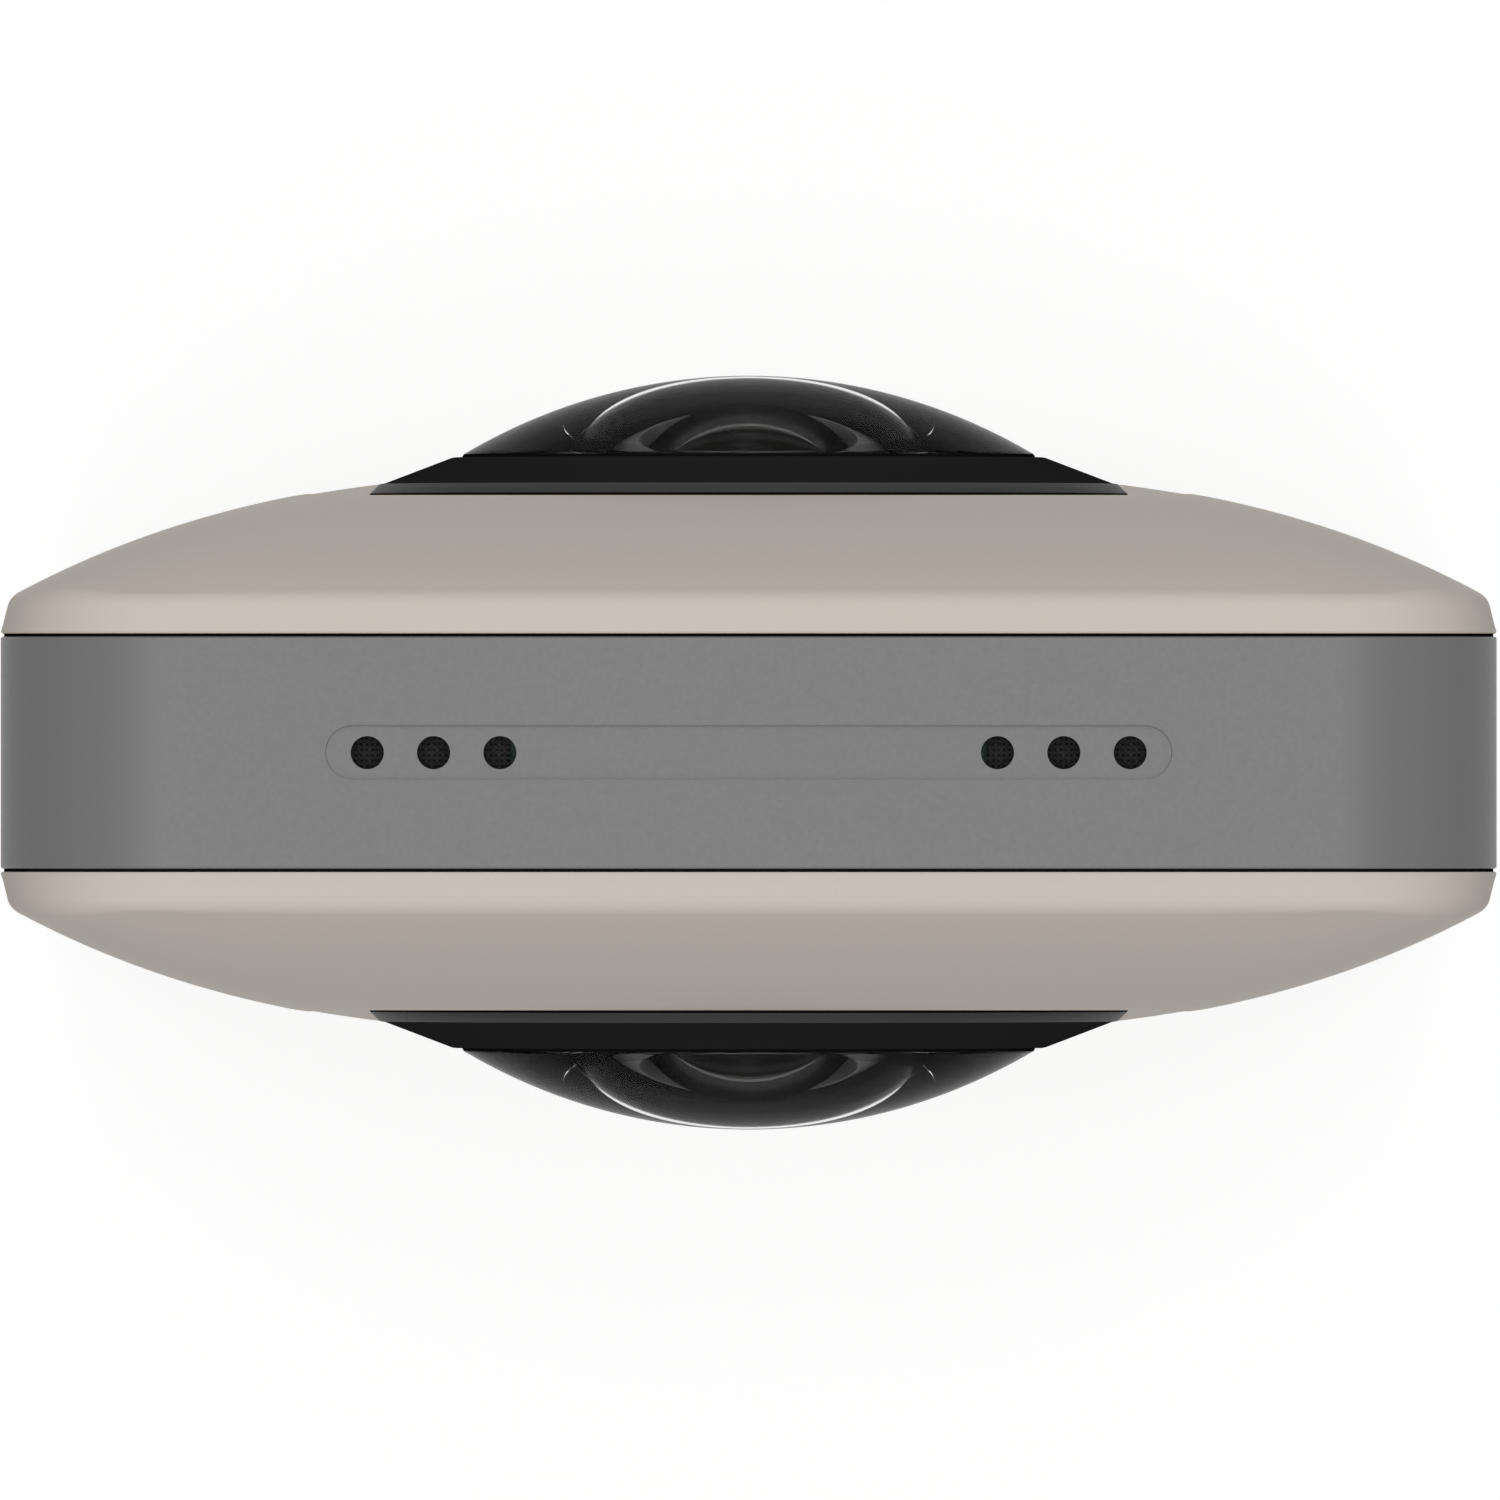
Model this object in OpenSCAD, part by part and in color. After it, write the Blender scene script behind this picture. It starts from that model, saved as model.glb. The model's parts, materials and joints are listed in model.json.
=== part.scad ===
// Two-lens 360 degree camera: a slim upright body with a fisheye lens on each face.
// Millimetres. Z is up, the front faces -Y, and the origin is under the middle of the base.

/* [Body] */
// Width of the body across the band
body_w = 45.2; // [44:0.1:48]
// Height of the body
body_h = 130.6; // [128:0.1:136]
// Radius of the body's corners, seen from the front
corner_r = 5; // [4:0.1:6.5]
// Depth of the band between the two covers
band_d = 7; // [6.6:0.1:7.6]
// Wall thickness of the band
band_wall = 1.6; // [1.4:0.1:1.8]

/* [Covers] */
// Height of a cover's drafted edge above the seam
edge_rise = 0.9; // [0.7:0.05:1.1]
// How far the drafted edge leans in
edge_draft = 0.2; // [0.1:0.05:0.3]
// Height of the rounded shoulder above the edge
shoulder = 0.35; // [0.3:0.01:0.45]
// Depth of a cover from the middle of the body, at its highest
crown_d = 8.7; // [8.5:0.02:8.9]
// Power of the crown's curve towards the sides
side_power = 3.1; // [2.8:0.1:3.4]
// Power of the crown's curve towards the ends
end_power = 9; // [8.5:0.1:10]
// Wall thickness of a cover
cover_wall = 1.3; // [1.2:0.05:1.4]
// Width of the open seam between a cover and the band
seam_gap = 0.1; // [0.06:0.02:0.16]

/* [Lens] */
// Drop from the top of the body to the lens axis
lens_drop = 22.4; // [22:0.1:23.5]
// Depth of the cover's face round a lens, from the middle of the body
land_d = 7.86; // [7.75:0.01:7.9]
// How deep the lens ring is let into that face
ring_sink = 0.2; // [0.15:0.01:0.25]
// Outer radius of the lens ring
ring_r = 11.54; // [11.4:0.02:11.8]
// Size of the chamfer round the lens ring's outer edge
ring_chamfer = 0.32; // [0.2:0.02:0.4]
// Height of the lens ring above the cover's face
ring_rise = 1.14; // [1:0.01:1.2]
// Radius of the dome lens
dome_r = 8.72; // [8.6:0.02:8.8]
// Distance of the dome's tip from the middle of the body
dome_d = 11.48; // [11.3:0.02:11.5]
// Radius of the dome's outer sphere
dome_sphere = 16.95; // [16.5:0.05:17.5]
// Radius of the dome's hollow
dome_hollow = 6.4; // [6.3:0.05:6.5]
// Thickness of the dome at its middle
dome_middle = 1; // [0.9:0.05:1.1]
// Radius of the second lens
second_r = 3.4; // [3.3:0.02:3.5]
// Radius of the third lens
third_r = 2.85; // [2.75:0.05:2.9]
// Half the side of the prism cube
prism_half = 2.8; // [2.6:0.05:2.8]
// Radius of the relay lenses
relay_r = 2.45; // [2.2:0.05:2.5]

/* [Controls] */
// Height of the shutter button's middle
shutter_z = 72; // [70:0.5:76]
// Radius of the shutter button
shutter_r = 5.5; // [5:0.1:6]
// Travel of the shutter button
shutter_travel = 0.5; // [0.3:0.05:0.6]
// Drop from the lens axis to the middle of the row of side keys
keys_drop = 28.2; // [27.5:0.1:29]
// Spacing of the side keys
key_pitch = 8.6; // [8:0.1:8.8]
// Length of a side key
key_l = 6.4; // [5.5:0.1:6.6]
// Width of a side key
key_w = 3.4; // [3:0.1:3.8]
// Travel of a side key
key_travel = 0.3; // [0.2:0.05:0.35]
// Height of the display's middle
display_z = 36; // [32:0.5:40]
// Width of the display window
display_w = 16; // [14:0.5:17]
// Height of the display window
display_h = 5; // [4.5:0.1:5.5]

/* [Sound] */
// Length of the recess in the band's top
pill_l = 25.5; // [25:0.1:27]
// Width of the recess in the band's top
pill_w = 1.6; // [1.4:0.1:2]
// Depth of the recess in the band's top
pill_deep = 0.12; // [0.08:0.01:0.2]
// Radius of a sound hole
hole_r = 0.5; // [0.4:0.05:0.6]
// Spacing of the sound holes in a group
hole_pitch = 2; // [1.8:0.05:2.1]
// Distance of each group's middle hole from the centre
hole_x = 9.5; // [9.3:0.1:9.8]

/* [Base] */
// Radius of the tripod thread
thread_r = 3.175; // [3.1:0.025:3.3]
// Depth of the tripod thread
thread_l = 6; // [5.5:0.1:6.5]
// Distance of the charging socket from the centre
usb_x = 12.6; // [12.5:0.1:13]
// Width of the charging socket
usb_w = 7.5; // [7:0.1:7.6]
// Length of the charging socket
usb_l = 5; // [4.5:0.1:5.5]

/* [Inside] */
// Depth of the inner frame
frame_t = 2.5; // [2.3:0.1:2.8]
// Width of the frame's side rails
rail_w = 3.6; // [3.4:0.1:3.8]
// Width of the frame's cross bars
bar_w = 3; // [2.8:0.1:3.2]
// Height of the battery
battery_h = 46; // [42:0.5:46]
// Width of the battery
battery_w = 33; // [30:0.5:33.5]
// Thickness of the battery
battery_t = 5.6; // [5:0.1:5.6]
// Thickness of the boards
board_t = 0.8; // [0.6:0.1:0.9]
// Radius of a screw's shank
screw_r = 0.6; // [0.5:0.05:0.65]

/* [Clearances] */
// Gap round a piece that slides
slide_gap = 0.12; // [0.1:0.01:0.2]
// Gap round a piece that is fixed in another
fit = 0.05; // [0.04:0.01:0.08]
// Gap between neighbouring inside pieces
part_gap = 0.3; // [0.25:0.05:0.35]

/* [Hidden] */
$fn = 96;

// Outline of the body
half_w = body_w / 2;
band_in = half_w - band_wall;
rim_d = band_d / 2;
lens_z = body_h - lens_drop;

// Crown of the covers
crown_inset = 0.6;
crown_edge = 0.3;
crown_half_w = half_w - crown_edge;
crown_half_h = body_h / 2 - crown_edge;
shoulder_lean = 0.08;
edge_d = rim_d + edge_rise + shoulder;
ring_gap = 0.08;
land_edge = 0.15;
land_step = 0.04;
land_r = ring_r + land_edge;
land_bend = 22.03;
land_soft = 0.04;
crown_blend = 4;
rim_step = 0.4;
rim_lean = 0.1;
rim_in = cover_wall + rim_lean;
wall_top = rim_in + rim_lean;

// Lens stack, as distances from the middle of the body
seat_d = land_d - ring_sink;
stack_d = 7;
dome_base = dome_d - dome_sphere;
hollow_base = dome_d - dome_middle - dome_hollow;
barrel_r = 9.6;
skirt_r = 10.2;
flange_d = 5.9;
retainer_d = 6.1;
retainer_r = 4.5;
retainer_edge = 0.06;
retainer_top = 6.7;
second_d = 5.5;
second_edge = 0.15;
second_over = 0.2;
second_sphere = second_r + second_over;
second_tip = second_d + second_edge + second_sphere - sqrt(second_sphere * second_sphere - second_r * second_r);
second_hollow = 3;
second_middle = 1;
third_d = 4.2;
third_tip = 5.5;
third_sphere = 6;
spigot_r = 3.3;
prism_gap = 0.1;
spigot_d = prism_half + prism_gap;
third_seat = 0.65;
foot_r = 6.5;
foot_d = 5;
retainer_lip = 0.15;
ring_lip = 0.26;
ring_fillet = 0.14;
mask_t = 0.09;
prism_trim = 0.07;
block_w = 14;
block_h = 13;
block_d = 7.2;
ear_t = 1.4;
ear_w = 3;
ear_x = 4.5;
ear_reach = block_h / 2 + part_gap + bar_w;
relay_x = spigot_r + prism_gap;
relay_first = 4;
relay_second = 6.6;
relay_t = 1.6;
relay_rise = 1.5;
relay_sphere = 5;
relay_end = 10.4;
holder = 9;
holder_t = 1;
sensor_t = 1;
sensor_w = 8.6;
sensor_board_w = 10.4;
sensor_board_h = 12;
sensor_board_x = relay_end + sensor_t;
ribbon_x = sensor_board_x + board_t;
ribbon_t = 0.2;
ribbon_low = 6;
ribbon_high = 4;
ribbon_y = 5;
ribbon_lift = 0.35;

// Stack under the sound holes, from the top down
top_in = body_h - band_wall;
mesh_t = 0.4;
sound_t = 1.3;
mesh_z = top_in - mesh_t;
sound_z = mesh_z - sound_t;
sound_board_z = sound_z - board_t;
mesh_shift = 0.2;
mesh_in = hole_x - hole_pitch - hole_r + mesh_shift;
mesh_out = hole_x + hole_pitch + hole_r + mesh_shift;
mesh_w = 2.2;
microphone_in = 1.8;
microphone_out = 2;
microphone_w = 2.8;
speaker_in = 2.3;
speaker_out = 2.6;
speaker_w = 3;
sound_board_l = 27;
sound_board_w = 3.6;
sound_screw_x = 4;

// Inner frame
frame_hw = band_in - 2 * fit;
frame_y = frame_t / 2;
frame_top = sound_board_z;
socket_cap = 1;
socket_flange_t = 2;
flange_z = thread_l + socket_cap;
frame_low = flange_z + socket_flange_t;
frame_r = corner_r - band_wall;
low_bar_z = frame_low + bar_w;
battery_z = low_bar_z + part_gap;
mid_bar_z = battery_z + battery_h + part_gap;
window_z0 = mid_bar_z + bar_w;
lens_low_z = lens_z - block_h / 2 - part_gap - bar_w;
lens_high_z = lens_z + block_h / 2 + part_gap;
window_x = frame_hw - rail_w;
battery_gap = 0.8;
battery_air = 0.44;
tape_t = 0.2;
tape_side = 3;
tape_end = 4;
battery_half = battery_w / 2;
pocket_x = battery_half + battery_gap;
battery_front = crown(battery_half, battery_z) - cover_wall - battery_air;
battery_back = battery_t - battery_front;
tray_y = battery_back + tape_t;
low_z = frame_low + bar_w / 2;
tripod_screw_x = 6;
post_edge = 1.35;
post_x = frame_hw - post_edge;
post_r = 1.1;
front_post_rise = 11.3;
rear_post_rise = 2.8;
front_post_z = lens_z + front_post_rise;
rear_post_z = lens_z + rear_post_rise;
low_post_x = tripod_screw_x / 2;
front_posts = [[-low_post_x, low_z], [low_post_x, low_z], [-post_x, front_post_z], [post_x, front_post_z]];
rear_posts = [[0, low_z], [-post_x, rear_post_z], [post_x, rear_post_z]];
peg_r = screw_r + 0.2;
peg_l = 1.6;
cover_bite = 2.6;
bite = 1.8;
cut = 1;
head_r = 1.15;
head_t = 0.8;
hole_gap = 0.05;

// Side keys, from the band inwards
key_flange_x = band_in - fit;
key_flange_t = 0.7;
key_stem = 0.3;
key_tip_x = key_flange_x - key_flange_t - key_stem;
plunger_h = 0.3;
key_switch_top = key_tip_x - key_travel - fit - plunger_h;
key_switch_h = 1.5;
key_board_x = key_switch_top - key_switch_h - board_t;
key_rail_w = 2.6;
key_sink = 0.1;
keys_z = lens_z - keys_drop;
key_lip = 0.5;
key_margin = 0.9;
keys_half = (3 * key_pitch + key_l) / 2 + key_lip + key_margin;
key_stem_r = 0.9;
key_switch_l = 3.5;
key_switch_w = 3.2;
key_plunger_r = 0.7;
key_board_w = 5.2;

// Boards
board_y = frame_y;
board_back = frame_y + board_t;
board_edge = 0.8;
board_left = -(window_x + board_edge);
board_right = key_board_x - board_edge;
board_low = low_bar_z + 2 * part_gap;
board_drop = 0.4;
board_high = lens_low_z - board_drop;
board_screw_x = 12;
module_x = -11;
module_w = 10;
module_t = 1.8;
module_drop = 0.6;
radio_x = 1;
radio_w = 8;
radio_t = 1;
radio_drop = 1;
shield_w = 18;
shield_t = 2.2;
shield_sheet = 0.3;
shield_drop = 14.4;
shield_high = board_high - shield_drop;
shield_low = shield_high - shield_w;
processor_w = 12;
processor_t = 1.4;
memory_w = 12;
memory_h = 11;
memory_t = 1.1;
memory_drop = 12;
memory_high = shield_low - memory_drop;
memory_low = memory_high - memory_h;
plug_drop = 10;
plug_high = memory_low - plug_drop;
plug_x = 13;
battery_plug_w = 5;
battery_plug_h = 4;
battery_plug_t = 1.6;
key_plug_w = 7;
key_plug_h = 3;
key_plug_t = 1.1;
ribbon_plug_w = 1.2;
ribbon_plug_h = 3.6;
ribbon_plug_t = 1.4;
port_half = 5;
port_low = band_wall + part_gap;

// Shutter button
switch_w = 4.2;
switch_h = 1.6;
switch_tip = 0.4;
switch_tip_r = 1;
shutter_lip = 1;
shutter_stem_r = 1.5;
shutter_under = 0.27;
shutter_sink = 0.1;
dish_sphere = 60;
dish_deep = 0.2;
shutter_end = switch_h + switch_tip - frame_y + shutter_travel + fit;
shutter_flange_d = crown_d - cover_wall - shutter_under;
shutter_flange_t = 0.85;
shutter_top = crown_d - shutter_sink;

// Display
window_sink = 0.2;
window_top = crown_d - window_sink;
window_t = 0.7;
window_r = 0.8;
ledge_x = 1.4;
ledge_z = 0.7;
panel_under = 0.25;
panel_d = crown_d - cover_wall - panel_under;
panel_t = 1.2;
panel_x = 0.5;
panel_z = 1;
lamp_rise = 3.5;
lamp_z = shutter_z + shutter_r + lamp_rise;
lamp_r = 0.75;
lamp_lip = 0.5;
lamp_lip_t = 0.5;
lamp_sink = 0.05;
lamp_d = crown(0, lamp_z + lamp_r + lamp_lip) - cover_wall - panel_under;
lamp_top = crown(0, lamp_z) - lamp_sink;

// Base
socket_wall = 1.425;
socket_r = thread_r + socket_wall;
socket_gap = 0.15;
socket_flange = 7.2;
socket_flange_y = 3;
usb_t = frame_t;
usb_z = 0.5;
usb_shell = 0.35;
usb_slot = 0.4;
usb_slot_r = 0.6;
tongue_half = 1.9;
tongue_low = -0.05;
tongue_high = 0.6;
tongue_drop = 0.7;

// Helpers
module block(from, to) {
    translate(from) cube(to - from);
}

module along_lens() {
    translate([0, 0, lens_z]) rotate([90, 0, 0]) children();
}

module turned() {
    rotate([0, 0, 180]) children();
}

module mirrored_x() {
    mirror([1, 0, 0]) children();
}

module rounded(w, h, r) {
    square([w - 2 * r, h], center = true);
    square([w, h - 2 * r], center = true);
    for (sx = [-1, 1], sz = [-1, 1])
        translate([sx * (w / 2 - r), sz * (h / 2 - r)]) circle(r);
}

module pill(l, w) {
    square([l - w, w], center = true);
    for (s = [-1, 1]) translate([s * (l - w) / 2, 0]) circle(w / 2);
}

module upright(depth) {
    rotate([90, 0, 0]) linear_extrude(depth, center = true) children();
}

module screw(length) {
    cylinder(r = head_r, h = head_t);
    translate([0, 0, -length]) cylinder(r = screw_r, h = length + head_t / 2);
}

module screw_hole(length) {
    translate([0, 0, -length]) cylinder(r = screw_r + hole_gap, h = length + cut);
}

// Depth of a cover's face over a point of its outline
function crown(x, z) =
    let(tx = abs(x) / crown_half_w)
    let(tz = abs(z - body_h / 2) / crown_half_h)
    let(fall = pow(pow(tx, side_power * crown_blend) + pow(tz, end_power * crown_blend), 1 / crown_blend))
    let(plain = crown_d - (crown_d - edge_d) * fall)
    let(out = max(0, norm([x, min(0, z - lens_z)]) - land_r))
    let(land = land_d - land_step + out * out / (2 * land_bend))
    (plain + land - sqrt((plain - land) * (plain - land) + land_soft * land_soft)) / 2;

// Outline of the covers: points with their outward directions and their step up the side
side_steps = 22;
end_steps = 8;
bend_steps = 5;
straight_h = body_h - 2 * corner_r;
straight_w = body_w - 2 * corner_r;
step_h = straight_h / side_steps;
function bend(cx, cz, a0, step) = [for (i = [0:bend_steps - 1])
    let(a = a0 + 90 * i / bend_steps)
    [cx + corner_r * cos(a), cz + corner_r * sin(a), cos(a), sin(a), step]];
outline = concat(
    [for (i = [0:side_steps - 1]) [half_w, corner_r + step_h * i, 1, 0, i]],
    bend(half_w - corner_r, body_h - corner_r, 0, side_steps),
    [for (i = [0:end_steps - 1]) [half_w - corner_r - straight_w * i / end_steps, body_h, 0, 1, side_steps]],
    bend(corner_r - half_w, body_h - corner_r, 90, side_steps),
    [for (i = [0:side_steps - 1]) [-half_w, body_h - corner_r - step_h * i, -1, 0, side_steps - i]],
    bend(corner_r - half_w, corner_r, 180, 0),
    [for (i = [0:end_steps - 1]) [corner_r - half_w + straight_w * i / end_steps, 0, 0, -1, 0]],
    bend(half_w - corner_r, corner_r, 270, 0));
points_round = len(outline);

// Spine up the middle of a cover, which its rings close in on
spine_low = floor((half_w - corner_r) / step_h) + 1;
spine_high = ceil((body_h - half_w - corner_r) / step_h) - 1;
spine_heights = concat([half_w], [for (i = [spine_low:spine_high]) corner_r + step_h * i], [body_h - half_w]);
spine_count = len(spine_heights);
function spine_index(p) = min(max(p[4] - spine_low + 1, 0), spine_count - 1);
function spine(p) = [0, spine_heights[spine_index(p)]];

function inset(p, d) = [p[0] - d * p[2], p[1] - d * p[3]];
function towards(p, d, share) = spine(p) + share * (inset(p, d) - spine(p));
function lay(q, depth) = [q[0], -depth, q[1]];
function face_point(p, d, share, sunk) = let(q = towards(p, d, share)) lay(q, crown(q[0], q[1]) - sunk);
function shoulder_point(p, t) =
    let(low = inset(p, edge_draft))
    let(corner = inset(p, edge_draft + shoulder_lean))
    let(high = inset(p, crown_inset))
    let(q = (1 - t) * (1 - t) * low + 2 * t * (1 - t) * corner + t * t * high)
    let(d = (1 - t) * (1 - t) * (rim_d + edge_rise) + 2 * t * (1 - t) * edge_d
        + t * t * crown(high[0], high[1]))
    lay(q, d);

outer_shares = [0.16, 0.3, 0.42, 0.51, 0.6, 0.69, 0.78, 0.87, 0.94, 1];
inner_shares = [1, 0.88, 0.74, 0.6, 0.46, 0.28];
cover_rings = concat(
    [for (s = outer_shares) [for (p = outline) face_point(p, crown_inset, s, 0)]],
    [for (t = [0.7, 0.35, 0]) [for (p = outline) shoulder_point(p, t)]],
    [[for (p = outline) lay(inset(p, 0), rim_d + seam_gap)]],
    [[for (p = outline) lay(inset(p, rim_step), rim_d + seam_gap)]],
    [[for (p = outline) lay(inset(p, rim_step), rim_d)]],
    [[for (p = outline) lay(inset(p, rim_in), rim_d)]],
    [for (s = inner_shares) [for (p = outline) face_point(p, wall_top, s, cover_wall)]]);

// A closed cover: its rings joined in order, the first and the last closed on a spine
module cover_shell() {
    n = points_round;
    rings = len(cover_rings);
    last = (rings - 1) * n;
    outer_spine = rings * n;
    inner_spine = outer_spine + spine_count;
    walls = [for (k = [0:rings - 2], i = [0:n - 1])
        let(j = (i + 1) % n)
        each [[k * n + i, k * n + j, (k + 1) * n + j], [k * n + i, (k + 1) * n + j, (k + 1) * n + i]]];
    caps = [for (i = [0:n - 1])
        let(j = (i + 1) % n)
        let(a = spine_index(outline[i]))
        let(b = spine_index(outline[j]))
        each concat([[j, i, outer_spine + b], [last + i, last + j, inner_spine + b]],
            a == b ? [] : [[i, outer_spine + a, outer_spine + b],
                [last + i, inner_spine + b, inner_spine + a]])];
    points = concat([for (r = cover_rings, p = r) p],
        [for (z = spine_heights) lay([0, z], crown(0, z))],
        [for (z = spine_heights) lay([0, z], crown(0, z) - cover_wall)]);
    polyhedron(points, concat(walls, caps));
}

module lens_cut() {
    along_lens() {
        translate([0, 0, seat_d]) cylinder(r = ring_r + ring_gap, h = crown_d);
        cylinder(r = skirt_r + 2 * fit, h = dome_d);
    }
}

module tripod_cut() {
    translate([0, 0, -cut]) cylinder(r = socket_r + socket_gap, h = flange_z + cut);
}

module posts(places) {
    for (p = places)
        translate([p[0], -frame_y, p[1]]) rotate([90, 0, 0])
            cylinder(r = post_r, h = crown(p[0], p[1]) - cover_wall / 2 - frame_y);
}

// Body
module side_band() color("dimgray") difference() {
    translate([0, 0, body_h / 2]) upright(band_d) difference() {
        rounded(body_w, body_h, corner_r);
        rounded(body_w - 2 * band_wall, body_h - 2 * band_wall, corner_r - band_wall);
    }
    translate([0, 0, body_h - pill_deep]) linear_extrude(cut) pill(pill_l, pill_w);
    for (s = [-1, 1], i = [-1:1])
        translate([s * hole_x + i * hole_pitch, 0, top_in - cut])
            cylinder(r = hole_r, h = band_wall + 2 * cut);
    for (i = [-1.5:1.5])
        translate([band_in - cut, 0, keys_z + i * key_pitch]) rotate([0, 90, 0])
            linear_extrude(band_wall + 2 * cut) pill(key_l + 2 * slide_gap, key_w + 2 * slide_gap);
    translate([0, 0, -cut]) cylinder(r = socket_r + 2 * fit, h = band_wall + 2 * cut);
    translate([usb_x, 0, -cut]) linear_extrude(band_wall + 2 * cut)
        rounded(usb_w + 2 * usb_slot, usb_t + 2 * usb_slot, usb_slot_r);
}

module front_cover() color("wheat") difference() {
    union() {
        cover_shell();
        posts(front_posts);
    }
    lens_cut();
    tripod_cut();
    for (p = front_posts)
        translate([p[0], -frame_y, p[1]]) rotate([-90, 0, 0]) screw_hole(cover_bite + part_gap);
    translate([0, -rim_d, shutter_z]) rotate([90, 0, 0]) cylinder(r = shutter_r + slide_gap, h = crown_d);
    translate([0, -rim_d, lamp_z]) rotate([90, 0, 0]) cylinder(r = lamp_r + fit, h = crown_d);
    translate([0, window_t - window_top - crown_d / 2, display_z])
        upright(crown_d) rounded(display_w + 2 * fit, display_h + 2 * fit, window_r + fit);
    block([-display_w / 2 + ledge_x, -crown_d, display_z - display_h / 2 + ledge_z],
        [display_w / 2 - ledge_x, -rim_d, display_z + display_h / 2 - ledge_z]);
}

module rear_cover() color("wheat") turned() difference() {
    union() {
        cover_shell();
        posts(rear_posts);
        for (p = rear_posts)
            translate([p[0], -frame_y - cut, p[1]]) rotate([-90, 0, 0]) cylinder(r = peg_r, h = peg_l + cut);
    }
    lens_cut();
    tripod_cut();
}

module inner_frame() color("gray") difference() {
    translate([0, 0, (frame_low + frame_top) / 2]) upright(frame_t)
        rounded(2 * frame_hw, frame_top - frame_low, frame_r);
    block([-pocket_x, -frame_t, low_bar_z], [pocket_x, tray_y, mid_bar_z]);
    block([-window_x, -frame_t, window_z0], [key_board_x - key_rail_w, frame_t, lens_low_z]);
    block([key_board_x, -frame_t, keys_z - keys_half], [band_in, frame_t, keys_z + keys_half]);
    block([-window_x, -frame_t, lens_low_z + bar_w], [window_x, frame_t, lens_high_z]);
    block([-window_x, -frame_t, lens_high_z + bar_w], [window_x, frame_t, frame_top - bar_w]);
    for (p = front_posts) translate([p[0], frame_y, p[1]]) rotate([-90, 0, 0]) screw_hole(frame_t + cut);
    for (p = rear_posts)
        translate([p[0], frame_y + cut, p[1]]) rotate([90, 0, 0])
            cylinder(r = peg_r + fit, h = peg_l + part_gap + cut);
    for (s = [-1, 1]) {
        for (z = [lens_low_z, lens_high_z])
            translate([s * ear_x, frame_y, z + bar_w / 2]) rotate([-90, 0, 0]) screw_hole(bite + part_gap);
        translate([s * board_screw_x, frame_y, mid_bar_z + bar_w / 2]) rotate([-90, 0, 0])
            screw_hole(bite + part_gap);
        translate([s * sound_screw_x, 0, frame_top]) screw_hole(bite + part_gap);
        translate([s * tripod_screw_x, 0, frame_low]) rotate([180, 0, 0]) screw_hole(bite + part_gap);
    }
    translate([usb_x, frame_y, low_z]) rotate([-90, 0, 0]) screw_hole(bite + part_gap);
}

// Optics
module lens_ring() color("black") along_lens() rotate_extrude() polygon([
    [dome_r + fit, stack_d], [skirt_r, stack_d], [skirt_r, seat_d], [ring_r, seat_d], [ring_r, land_d],
    [ring_r - ring_chamfer, land_d + ring_chamfer],
    [ring_r - ring_chamfer - ring_fillet, land_d + ring_chamfer + ring_fillet / 7],
    [dome_r + ring_lip, land_d + ring_rise], [dome_r + fit, land_d + ring_rise]]);

module dome_lens() color("lightblue", 0.4) along_lens() difference() {
    intersection() {
        translate([0, 0, stack_d]) cylinder(r = dome_r, h = dome_d);
        translate([0, 0, dome_base]) sphere(dome_sphere);
    }
    translate([0, 0, hollow_base]) sphere(dome_hollow);
}

module lens_barrel() color("black") along_lens() rotate_extrude() polygon([
    [third_r - third_seat, spigot_d], [spigot_r, spigot_d], [spigot_r, block_d / 2],
    [foot_r, block_d / 2], [foot_r, foot_d], [barrel_r, flange_d], [barrel_r, stack_d],
    [retainer_r + fit, stack_d], [retainer_r + fit, retainer_d], [second_r + fit, retainer_d],
    [second_r + fit, second_d], [third_r + fit, second_d],
    [third_r + fit, third_d], [third_r - third_seat, third_d]]);

module lens_retainer() color("silver") along_lens() rotate_extrude() polygon([
    [second_r - retainer_lip, retainer_d], [retainer_r, retainer_d], [retainer_r, retainer_d + retainer_edge],
    [second_r + retainer_lip, retainer_top]]);

module second_lens() color("lightblue", 0.5) along_lens() difference() {
    intersection() {
        translate([0, 0, second_d]) cylinder(r = second_r, h = second_tip);
        translate([0, 0, second_tip - second_sphere]) sphere(second_sphere);
    }
    translate([0, 0, second_tip - second_middle - second_hollow]) sphere(second_hollow);
}

module third_lens() color("lightblue", 0.5) along_lens() intersection() {
    translate([0, 0, third_d]) cylinder(r = third_r, h = third_tip);
    translate([0, 0, third_tip - third_sphere]) sphere(third_sphere);
}

module prism() color("lightblue", 0.5) translate([0, 0, lens_z - prism_half]) linear_extrude(2 * prism_half)
    polygon([[-prism_half + prism_trim, -prism_half], [prism_half, -prism_half],
        [prism_half, prism_half - prism_trim]]);

module prism_mask() color("black") translate([0, 0, lens_z]) rotate([0, 0, 45])
    cube([2 * sqrt(2) * prism_half - 2 * mask_t, mask_t, 2 * prism_half], center = true);

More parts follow.
